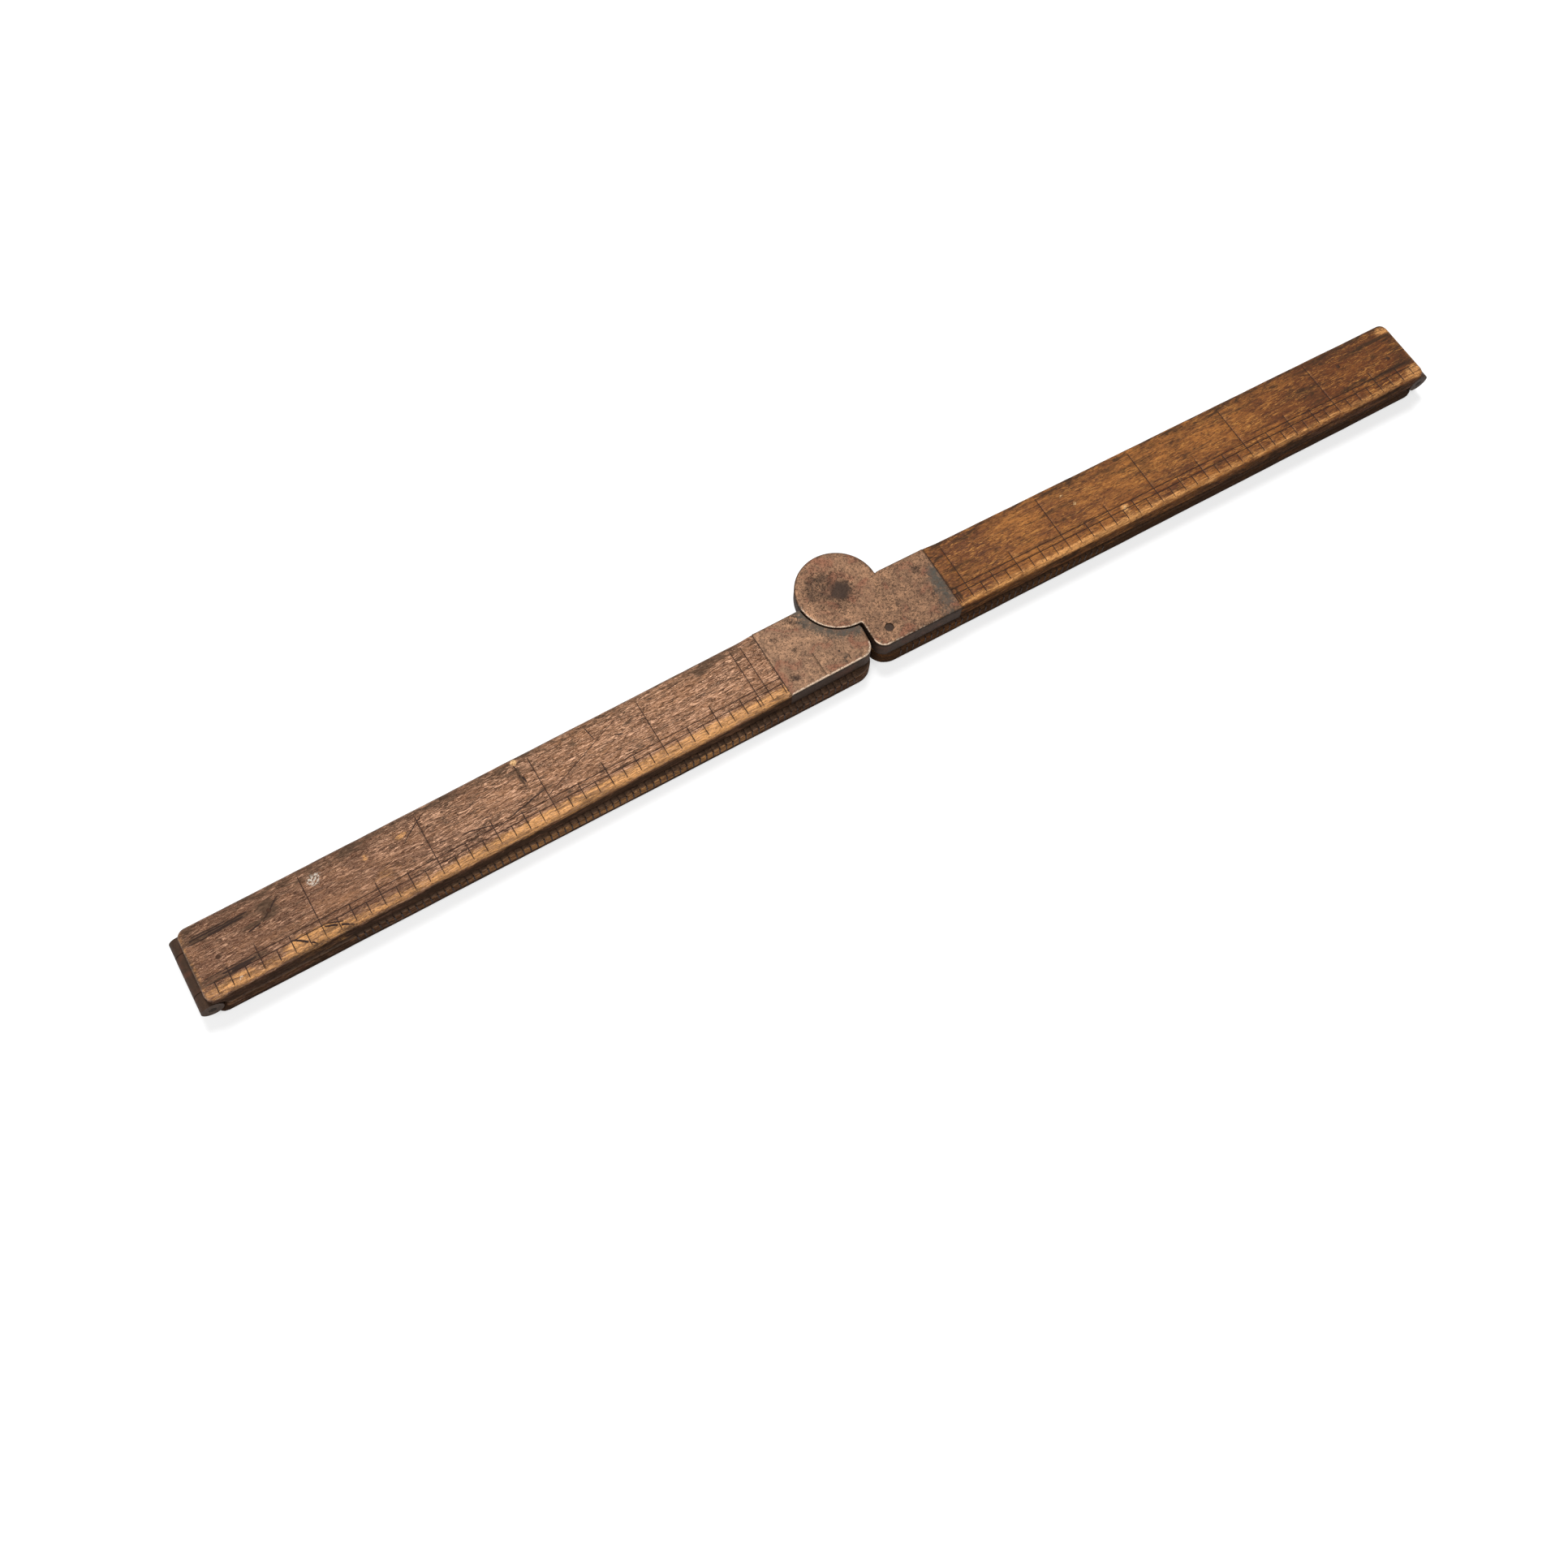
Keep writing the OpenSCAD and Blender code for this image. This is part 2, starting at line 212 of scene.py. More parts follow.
class Limb:
    """One wooden limb, laid out from its fold at x = 0 towards the middle joint, in millimetres.
    Its upper face is at z1; y runs from the front edge at -w / 2 to the back edge."""

    def __init__(self, seed, outer, marks, notch, arris, line_ink=1.0, band=(3.5, 1.5), side_dirt=1.0,
                 strip=None, lip=0.8):
        self.seed, self.marks, self.notch, self.arris = seed, marks, notch, arris
        self.line_ink, self.band, self.side_dirt, self.strip, self.lip = line_ink, band, side_dirt, strip, lip
        if outer:
            self.w, self.z0, self.z1, self.x1, self.tip = OUTER_W, 0, LIMB_T, OUTER_END, TIP_CORNER
            self.lines, self.first, step = (), 0.2, 0.8
        else:
            self.w, self.z0, self.z1, self.x1, self.tip = LIMB_W, INNER_Z, TOP, INNER_END, 0
            self.lines, self.first, step = SCORED_LINES, 0.9, 0.6
        self.half = notch / 2
        self.lay_out(step)
        self.shape()

    def radius(self, x, y, upper):
        """Rounding of the long edges: worn unevenly, even near the ends."""
        near = ramp(3, 8, x - FOLD_START) * (ramp(5, 11, self.x1 - x) if self.tip else 1)
        front = np.where(y < 0, 1.0, 0.0)
        rough = 0.14 * wander(x, self.seed, 9) + 0.07 * wander(x, self.seed + 5, 2.2)
        base = 0.95 + 0.22 * front if upper else 0.85
        worn = np.zeros_like(x)
        for at, reach, extra in self.arris:
            worn = worn + extra * ramp(1, 0, np.abs(x - at) / reach)
        flush = 1 if self.tip else ramp(0, 4, self.x1 - x)
        full = (base + rough + worn * front * upper) * flush + 0.45 * (1 - flush)
        return 0.9 * (1 - near) + full * near

    def lay_out(self, step):
        """Sets the grid lines along the limb, across it and down its walls."""
        curve = [END_ROUND * (1 - math.sin(a)) for a in ARC]
        stop = self.x1 - END_ROUND - 0.3 if self.tip else self.x1
        cuts = [m[0] for m in self.marks if FOLD_START + 2 < m[0] < stop - 0.5]
        middle = grid_lines(FOLD_START + END_ROUND + 0.3, stop, step, cuts, self.half)
        ends = [self.x1 - c for c in curve[::-1]] if self.tip else []
        self.xs = np.concatenate([[FOLD_START + c for c in curve], middle, ends])
        h = self.w / 2
        ys = grid_lines(-h + 1.75, h - 1.75, 0.44, [-h + d for d in self.lines], self.half)
        level = np.zeros(len(ys))
        self.side = np.concatenate([[-1] * 4, level, [1] * 4])
        self.angle = np.concatenate([ARC, level, ARC[::-1]])
        self.flat_y = np.concatenate([np.zeros(4), ys, np.zeros(4)])
        flats = np.linspace(0, 1, 7)[1:-1]
        self.row_kind = np.array([-1] * 4 + [0] * len(flats) + [1] * 4)
        self.row_at = np.concatenate([WALL, flats, WALL[::-1]])

    def shape(self):
        """Puts every grid point in its place."""
        n_i, n_j, n_k = len(self.xs), len(self.side), len(self.row_kind)
        where, self.quads = box_grid(n_i, n_j, n_k)
        i, j, k = where.T
        h = self.w / 2
        x = self.xs[i]
        side, angle = self.side[j], self.angle[j]
        face_sign = np.where(side != 0, side, np.sign(self.flat_y[j]))
        up, down = self.radius(x, face_sign, True), self.radius(x, face_sign, False)
        upper, lower = k == n_k - 1, k == 0
        # Across the width
        r_face = np.where(lower, down, up)
        y = np.where(side != 0, side * (h - r_face * (1 - np.sin(angle))), self.flat_y[j])
        # Down the walls
        kind, at = self.row_kind[k], self.row_at[k]
        inset = np.where(kind != 0, np.where(kind == 1, up, down) * (1 - np.sin(at)), 0)
        z_low, z_high = self.z0 + down, self.z1 - up
        z = z_low + at * (z_high - z_low)
        z = np.where(kind == 1, self.z1 - up * (1 - np.cos(at)), z)
        z = np.where(kind == -1, self.z0 + down * (1 - np.cos(at)), z)
        y = np.where((j == 0) | (j == n_j - 1), np.where(j == 0, -1, 1) * (h - inset), y)
        x = np.where(i == 0, FOLD_START + inset, x)
        if self.tip:
            x = np.where(i == n_i - 1, self.x1 - inset, x)
        # The two faces follow the rounding by their distance from the outline
        e_x = x - FOLD_START
        if self.tip:
            e_x = np.minimum(e_x, self.x1 - x)
        e = np.minimum(e_x, h - np.abs(y))
        for face, r, level, sign in ((upper, up, self.z1, -1), (lower, down, self.z0, 1)):
            drop = np.where(e < r, r - np.sqrt(np.maximum(r * r - (r - e) ** 2, 0)), 0)
            z = np.where(face, level + sign * drop, z)
        self.u, self.v, self.e = x.copy(), y.copy(), e
        # Corners seen from above
        for at_x, turn, r in ((FOLD_START, 1, FOLD_CORNER), (self.x1, -1, self.tip)):
            if not r:
                continue
            dx = r - (x - at_x) * turn
            dy = r - (h - np.abs(y))
            corner = (dx > 0) & (dy > 0)
            m, n = np.maximum(dx, dy), np.hypot(dx, dy) + 1e-9
            x = np.where(corner, at_x + turn * (r - dx / n * m), x)
            y = np.where(corner, np.sign(y) * (h - r + dy / n * m), y)
        # The hollow that clears the hinge's barrel
        off = np.abs(z - FOLD_Z)
        cove = np.sqrt(np.maximum(COVE_R ** 2 - off ** 2, 0))
        x = x + np.maximum(cove - FOLD_START, 0) * np.clip(1 - (x - FOLD_START) / 6, 0, 1)
        self.p = np.stack([x, y, z], 1)
        self.is_top, self.is_bottom = upper, lower
        self.wall = ~(upper | lower)
        self.roughen()

    def roughen(self):
        """Pushes the skin in a little, unevenly, so that it stays inside the frame."""
        p = self.p
        grain = relief(p, self.seed, (2.6, 0.55, 0.6))
        broad = relief(p, self.seed + 3, (17, 6, 6))
        push = 0.028 + 0.009 * grain + 0.014 * broad
        level = ramp(0.15, 1.0, self.e)
        p[:, 2] -= push * (np.where(self.is_top, 1, 0) * level)
        p[:, 2] += push * (np.where(self.is_bottom, 1, 0) * level)
        wall = self.wall & (np.abs(p[:, 1]) > self.w / 2 - 0.8)
        p[:, 1] -= np.sign(p[:, 1]) * np.where(wall, push * 1.4, 0)
        p[:, 2] -= self.groove_depth() * self.is_top

    def groove_depth(self):
        """How deep the scored lines and marks are cut at each point of the upper face."""
        depth, scribed = np.zeros(len(self.u)), np.zeros(len(self.u))
        front = self.v + self.w / 2
        for at, reach, weight in self.marks:
            d = np.clip(1 - np.abs(self.u - at) / self.half, 0, 1)
            along = ramp(self.first - 0.2, self.first + 0.2, front) * ramp(reach + 0.25, reach - 0.1, front)
            depth = np.maximum(depth, d * along * weight)
        for at in self.lines:
            d = np.clip(1 - np.abs(front - at) / self.half, 0, 1)
            scribed = np.maximum(scribed, d * ramp(1.5, 3, self.u - FOLD_START))
        self.inked = np.maximum(depth, scribed * self.line_ink)
        return np.maximum(depth, scribed) * self.notch * 0.42

    def gouge(self, at, y0, y1, width, depth):
        """A ragged dent across the upper face."""
        ragged = width * (1 + 0.5 * wander(self.v, self.seed + 9, 0.9))
        d = np.clip(1 - np.abs(self.u - at - 0.25 * wander(self.v, self.seed + 4, 2)) / ragged, 0, 1)
        along = ramp(y0 - 0.4, y0 + 0.4, self.v) * ramp(y1 + 0.4, y1 - 0.4, self.v)
        self.p[:, 2] -= d * along * self.is_top * depth

    def masks(self, dark_spots, flecks, bares, tone, wear):
        """Point masks for the wood's finish: worn, grime (soiling and painted shade), ink, pale and tone."""
        front, back = self.w / 2 + self.v, self.w / 2 - self.v
        z, top = self.p[:, 2], self.is_top
        patchy = 0.5 + 0.5 * relief(self.p, self.seed + 6, (5, 1.2, 1.5))
        fine = 0.5 + 0.5 * relief(self.p, self.seed + 8, (1.1, 0.5, 0.5))
        below = self.z1 - z
        under = 0 if self.tip else 1
        band = ramp(0.35 * under - 0.3, 0.35 * under + 0.1, front) * ramp(*self.band, front) * top
        ends = ramp(1.5, 0.4, self.u - FOLD_START) * top
        worn = np.maximum(band * (0.5 + 0.7 * patchy) * wear(self.u), ends * (0.2 + 0.5 * fine))
        lip = ramp(1.6, 0.3, below) * self.wall * (self.v < 0) * wear(self.u)
        worn = np.maximum(worn, lip * (0.1 + self.lip * patchy))
        # The walls darken from the top arris down: painted shade on the sides, with old soiling; the lower
        # face is darkened a little
        grime_and_shade = np.where(self.wall, ramp(-0.1, 0.5, below), 0.0) * (0.5 + 0.45 * patchy) * self.side_dirt
        grime_and_shade = grime_and_shade * (1 - 0.6 * np.clip(lip, 0, 1))
        grime_and_shade = np.maximum(grime_and_shade, 0.3 * self.is_bottom)
        rim = np.maximum(ramp(0.75, 0.1, back), 0.8 * under * ramp(0.3, 0.0, front)) * top
        grime_and_shade = np.maximum(grime_and_shade, rim * (0.35 + 0.5 * fine))
        grime_and_shade = np.maximum(grime_and_shade, (0.3 + 0.37 * patchy) * ramp(5.5, 0.6, back) * top)
        if self.strip:
            low, high, worn_strip = self.strip
            near = ramp(1.2, 0.4, front)
            bared = ramp(low - 0.4, low + 0.2, z) * ramp(high + 0.3, high - 0.3, z) * near
            bared = bared * worn_strip(self.u)
            worn = np.maximum(worn, bared * (0.6 + 0.7 * patchy))
            # Painted shade on the front wall: at the top, in the gap under the inner limb, and on the lower
            # rounding that faces the floor
            round_it = np.maximum(ramp(high - 0.1, high + 0.5, z), ramp(low, low - 0.6, z))
            grime_and_shade = np.maximum(grime_and_shade, (0.75 + 0.3 * patchy) * round_it * near)
            grime_and_shade = grime_and_shade * (1 - np.clip(bared, 0, 1))
            # The front of the upper face lies in the gap under the inner limb: painted shadow, darkest at the
            # front edge
            grime_and_shade = np.maximum(grime_and_shade, (0.85 + 0.3 * patchy) * ramp(2.6, 1.4, front) * top)
        pale = np.zeros(len(self.u))
        for target, places in ((grime_and_shade, dark_spots), (pale, flecks), (worn, bares)):
            for x, y, rx, ry, strength in places:
                d = np.hypot((self.u - x) / rx, (self.v - y) / ry)
                ragged = ramp(1.2, 0.3, d + 0.6 * (fine - 0.5) + 0.35 * (patchy - 0.5)) * strength
                np.maximum(target, np.where(self.is_bottom, 0, ragged), out=target)
        ink = np.clip(self.inked, 0, 1) * top
        return {"worn": np.clip(worn, 0, 1), "grime_and_shade": grime_and_shade, "ink": ink, "pale": pale, "tone": tone(self.u)}

    def height(self, x, y):
        """Height of the upper face at a place along and across the limb."""
        top = self.p[self.is_top]
        return top[np.argmin(np.hypot(top[:, 0] - x, top[:, 1] - y)), 2]

    def flanks(self):
        """Which quads lie on the walls and the lower face."""
        low = (self.z1 - self.p[:, 2]) > 0.45
        return (self.wall | self.is_bottom)[self.quads].all(1) & low[self.quads].any(1)


def inner_marks(seed, extra=(), bold=0.0):
    """Eighths of an inch on an inner limb: distance from the fold, reach from the front edge, weight."""
    rng = random.Random(seed)
    marks = list(extra)
    for n in range(7, 48):
        reach = {0: LIMB_W - 1.2, 4: 6.75, 2: 4.9, 6: 4.9}.get(n % 8, 3.6)
        reach += rng.uniform(-0.18, 0.18)
        weight = rng.uniform(0.62, 0.74) + bold if n % 8 == 0 else rng.uniform(0.7, 1.0)
        marks.append((LIMB_LEN - n * EIGHTH + rng.uniform(-0.05, 0.05), reach, weight))
    return marks


def outer_marks(seed):
    """Sixteenths of an inch along the front of an outer limb."""
    rng = random.Random(seed)
    marks = []
    for n in range(4, 93):
        reach = 6.0 if n % 16 == 0 else 4.4 if n % 8 == 0 else 3.4 if n % 2 == 0 else 2.5
        marks.append((LIMB_LEN - n * EIGHTH / 2, reach + rng.uniform(-0.15, 0.15), rng.uniform(0.7, 1.0)))
    return marks


LEFT_EXTRA = ((LIMB_LEN - 27.9, LIMB_W - 0.9, 0.7), (LIMB_LEN - 119.4, LIMB_W - 1.4, 0.15),
              (LIMB_LEN - 72.2, LIMB_W - 1.5, 0.2))

# Each limb: on the right, in the outer layer, its body and its scale marks
LIMBS = {
    "left_inner": (False, False, "left_arm", inner_marks(3, LEFT_EXTRA)),
    "right_inner": (True, False, "right_arm", inner_marks(4, (), 0.16)),
    "left_outer": (False, True, "left_outer", outer_marks(6)),
    "right_outer": (True, True, "right_outer", outer_marks(7)),
}

# Cracks, open grain and long scratches on the left inner limb: from x, y to x, y in the frame, then girth
SCRATCHES = (
    (-127.3, -4.9, -120.8, -7.9, 2.2), (-133.3, -4.5, -128.8, -7.8, 2.2), (-126.0, -5.0, -122.5, -6.2, 1.3),
    (-86.7, -3.5, -75.2, -0.9, 1.6), (-79.4, -4.1, -53.8, 6.6, 0.7), (-95.5, -1.3, -86.9, -3.4, 1.2),
    (-79.5, 6.7, -79.2, 3.6, 2.6), (-79.1, 5.0, -78.6, 1.9, 2.0), (-79.4, 3.0, -78.9, 0.9, 1.3),
    (-63.0, 7.4, -62.2, 3.1, 1.0), (-106.2, 2.4, -99.5, 6.9, 1.0), (-131.5, 5.5, -136.5, 1.6, 1.4),
    (-136.5, 1.6, -140.0, 0.9, 1.8), (-151.8, 4.9, -137.0, 5.1, 1.6), (-147.5, 4.4, -138.5, 4.6, 2.2),
    (-151.8, 4.2, -143.0, 4.2, 1.2), (-150.5, 5.5, -142.0, 5.4, 1.2), (-151.8, -3.6, -139.0, -3.5, 1.4),
    (-148.0, -4.2, -139.5, -4.2, 2.2), (-151.8, -4.9, -138.0, -4.8, 1.5), (-146.0, -4.6, -141.0, -4.5, 1.8),
    (-91.0, -0.6, -87.5, -0.9, 1.0), (-44.0, 5.9, -40.5, 6.4, 1.0), (-58.5, 2.4, -56.2, 1.6, 1.4),
)

# Marks of use on the inner limbs: x from the fold, y, half length, half width, strength
DENT = LIMB_LEN - 79.2
LEFT_STAINS = (
    (4, 5.0, 12, 0.5, 0.8), (4, 4.3, 10, 0.35, 0.7), (11, 4.6, 5, 0.9, 0.75), (5, -4.0, 12, 0.4, 0.75),
    (4, -4.7, 10, 0.35, 0.7), (11, -4.3, 5, 0.75, 0.75), (17.9, 3.6, 2.6, 2.4, 0.85),
    (14.5, 2.0, 3.2, 0.7, 0.8), (17.0, 1.9, 2.4, 0.8, 0.8), (5.8, -0.6, 0.9, 0.7, 0.9),
    (DENT, 3.9, 0.6, 3.4, 0.9), (DENT - 2.2, 5.2, 2.2, 0.4, 0.8), (21.5, -7.9, 6, 0.6, 0.9),
    (29.5, -7.9, 2.2, 0.9, 0.9), (INNER_END, 0, 0.5, 14, 1.0), (0.2, 0, 0.9, 9, 0.8),
    (20.6, 8.3, 1.2, 0.5, 0.9), (80.3, -4.15, 0.6, 0.7, 0.9), (79.6, -5.6, 0.35, 1.2, 0.7),
    (107, 8.1, 2.0, 0.5, 0.8), (98.0, 3.6, 1.0, 0.5, 0.7), (101.5, 1.0, 0.6, 0.6, 0.7),
)
LEFT_FLECKS = ((28.0, 4.8, 1.9, 1.4, 0.9), (DENT, 7.3, 0.5, 0.5, 1.3), (8, -6.6, 0.4, 0.3, 1.0))
LEFT_BARES = (
    (22.5, -6.6, 7, 2.2, 1.1), (27.5, -7.0, 4, 1.6, 1.1), (38.6, 3.7, 0.8, 0.8, 0.8),
    (46.7, 4.2, 1.2, 0.9, 1.0), (DENT + 0.1, 7.3, 0.8, 0.7, 1.2), (41, -1.5, 4, 1.5, 0.35),
    (7.5, -6.6, 6, 1.6, 0.8),
)
RIGHT_STAINS = (
    (4, 5.0, 11, 0.7, 0.85), (13, 4.6, 5, 1.0, 0.6), (6, -3.6, 11, 0.8, 0.8), (18, -3.0, 6, 0.8, 0.5),
    (1, -1, 6, 7, 0.5), (INNER_END, 0, 0.6, 14, 1.0), (INNER_END - 3.5, 8.1, 2.5, 1.3, 0.9),
    (30, 1.5, 6, 2.6, 0.5), (100, 2.5, 9, 0.6, 0.6), (76, 3.8, 10, 0.5, 0.55), (84, 5.6, 4, 1.6, 0.45),
    (50, 5.5, 5, 0.6, 0.45), (28, -1.5, 3, 3.5, 0.45), (57, 8.2, 2.0, 0.6, 0.8),
    (INNER_END - 1.2, -5.4, 0.5, 2.2, 0.9), (INNER_END - 4.5, -0.8, 6.5, 4.5, 0.42),
    (75.5, 2.8, 3.6, 4.6, 0.42), (INNER_END - 2, 5.5, 2.5, 3.0, 0.45),
)
RIGHT_FLECKS = ((LIMB_LEN - 56.6, 5.0, 0.5, 0.4, 1.0), (LIMB_LEN - 58.1, 1.8, 0.6, 0.7, 0.8),
                (LIMB_LEN - 67.5, -4.6, 0.7, 1.0, 0.7))
RIGHT_BARES = (
    (2.4, -6.3, 3.2, 2.0, 1.0), (2.2, 6.6, 3.0, 1.4, 0.9), (LIMB_LEN - 67.5, -4.8, 1.4, 1.6, 1.0),
    (LIMB_LEN - 39, -3.2, 1.0, 0.8, 0.6), (LIMB_LEN - 88.5, -7.7, 5, 0.9, 0.6),
)

# Stains on the brass in the frame: x, y, full radius, outer radius, strength
CHEEK_STAINS = (
    (-18.4, 4.8, 0.5, 1.2, 0.26), (-18.9, -5.16, 0.2, 1.6, 0.7), (-6.7, -6.6, 0.6, 1.2, 0.4),
    (-15.6, 0.5, 0.5, 1.1, 0.35), (-11.2, 4.7, 0.5, 1.4, 0.35), (-7.5, -4.35, 0.15, 0.35, 0.9),
    (-2.7, -2.7, 0.7, 1.15, 0.2), (-12.2, 6.8, 1.0, 2.6, 0.42),
)
CHEEK_GREENS = ((0, PIVOT_Y, 10.7, 13.4, 0.85), (-6.7, -6.6, 0.3, 1.8, 0.4))
HEAD_PLACES = turned([(*RIGHT_RIVETS[0], 0), (17.6, 4.6, 0), (20.8, 2.4, 0), (20.4, 0.2, 0), (20.4, -2.4, 0),
                      (19.8, -5.0, 0), (18.0, -7.6, 0)])[:, :2]
HEAD_STAINS = (
    (*HEAD_PLACES[0], 0.85, 1.1, 1.3), (*HEAD_PLACES[1], 0.4, 1.6, 0.55), (0.4, 8.2, 1.0, 4.1, 0.95),
    (-3.0, 10.6, 2.2, 6.2, 0.5), (0, PIVOT_Y, 9.3, 6.8, 0.2), (-1.0, 8.2, 4.0, 7.5, 0.35),
    (HEAD_PLACES[4][0] + 0.5, HEAD_PLACES[4][1], 2.5, 5.5, 0.35),
)
HEAD_GREENS = (
    (*HEAD_PLACES[2], 0.9, 2.6, 0.9), (*HEAD_PLACES[3], 1.0, 3.0, 0.95), (*HEAD_PLACES[4], 1.0, 3.2, 0.85),
    (*HEAD_PLACES[5], 0.8, 3.0, 0.75), (*HEAD_PLACES[6], 0.5, 2.4, 0.7),
)


# Brass plates

def arc_points(cx, cy, r, start, stop, step=0.35):
    n = max(2, int(abs(stop - start) * r / step))
    return [(cx + r * math.cos(a), cy + r * math.sin(a)) for a in np.linspace(start, stop, n + 1)]


def along(a, b, step=0.6):
    n = max(1, int(math.dist(a, b) / step))
    return [(a[0] + (b[0] - a[0]) * t / n, a[1] + (b[1] - a[1]) * t / n) for t in range(n)]


def cheek_outline():
    """Left plate, anticlockwise, with the bevel of each stretch of its edge and how bright it is: worn, with
    a painted highlight strongest on the front edge.
    """
    h, corner = LIMB_W / 2, 3
    a = math.radians(5)
    slope = math.tan(a)
    foot = SLIT_Y - 0.36
    cy = -h + corner
    end_x = -0.1 + (cy - SLIT_Y) * slope
    cx = end_x - corner / math.cos(a)
    loop = [(p, 0.36, 1.0) for p in along((-PLATE_LEN, -h), (cx, -h))]
    loop += [(p, 0.36, 0.95) for p in arc_points(cx, cy, corner, -math.pi / 2, -a)]
    top_x = -0.1 + (foot - SLIT_Y) * slope
    edge = (cx + corner * math.cos(a), cy - corner * math.sin(a))
    loop += [(p, 0.26, 0.3) for p in along(edge, (top_x, foot - 0.25))][1:]
    # The hollow round the disc, from the slit to the back edge
    start = math.atan2(foot - PIVOT_Y, top_x - 0.3)
    stop = math.atan2(h - PIVOT_Y, -HOLLOW_R)
    loop += [(p, 0.12, 0.0) for p in arc_points(0, PIVOT_Y, HOLLOW_R, start, stop + 0.02)]
    loop += [(p, 0.3, 0.0) for p in along((-HOLLOW_R - 0.35, h), (-PLATE_LEN, h))]
    loop += [(p, 0.03, 0.0) for p in along((-PLATE_LEN, h), (-PLATE_LEN, -h))]
    return loop


def head_outline():
    """Round-headed plate, anticlockwise, with the bevel of each stretch of its edge and how bright it is:
    worn, with a painted highlight.
    """
    h = LIMB_W / 2
    x0, r = 0.7, 2.5
    loop = [(p, 0.36, 0.9) for p in arc_points(x0 + r, -h + r, r, math.pi, 1.5 * math.pi)]
    loop += [(p, 0.36, 0.75 - 0.02 * p[0]) for p in along((x0 + r, -h), (PLATE_LEN, -h))][1:]
    loop += [(p, 0.03, 0.0) for p in along((PLATE_LEN, -h), (PLATE_LEN, h))]
    neck = math.sqrt(HEAD_R ** 2 - (PIVOT_Y - h) ** 2)
    loop += [(p, 0.3, 0.05) for p in along((PLATE_LEN, h), (neck + 0.75, h))]
    loop += [((neck + 0.4, h - 0.06), 0.25, 0.1), ((neck + 0.16, h - 0.18), 0.25, 0.1)]
    start = math.atan2(h - PIVOT_Y - 0.3, neck)
    foot = -math.sqrt(HEAD_R ** 2 - x0 ** 2)
    stop = math.atan2(foot, x0 - 0.45) + 2 * math.pi
    for p in arc_points(0, PIVOT_Y, HEAD_R, start + 0.03, stop):
        # The rim is painted brighter where it faces front and left: a painted highlight
        low_left = max(0.0, (-0.5 * p[0] - 0.9 * (p[1] - PIVOT_Y)) / HEAD_R)
        loop.append((p, 0.36, 0.05 + 0.8 * min(1.0, 1.3 * low_left)))
    loop += [((x0 - 0.12, foot + PIVOT_Y - 0.1), 0.3, 0.8), ((x0, foot + PIVOT_Y - 0.4), 0.3, 0.7)]
    loop += [(p, 0.36, 0.6) for p in along((x0, foot + PIVOT_Y - 0.8), (x0, -h + r))]
    return loop


def inset_loop(loop, share):
    """The loop moved inwards at each point by share of its own bevel."""
    p = np.array([q for q, _, _ in loop])
    b = np.array([v for _, v, _ in loop])
    b = (np.roll(b, 1) + b + np.roll(b, -1)) / 3
    t = np.roll(p, -1, 0) - np.roll(p, 1, 0)
    t /= np.linalg.norm(t, axis=1)[:, None] + 1e-9
    normal = np.stack([-t[:, 1], t[:, 0]], 1)
    return p + normal * (b * share)[:, None], b


def inside(loop, points):
    """Whether each point lies in the loop."""
    x, y = points[:, 0], points[:, 1]
    hit = np.zeros(len(points), bool)
    for (x0, y0), (x1, y1) in zip(loop, np.roll(loop, -1, 0)):
        if y0 != y1:
            hit ^= ((y0 > y) != (y1 > y)) & (x < (x1 - x0) * (y - y0) / (y1 - y0) + x0)
    return hit


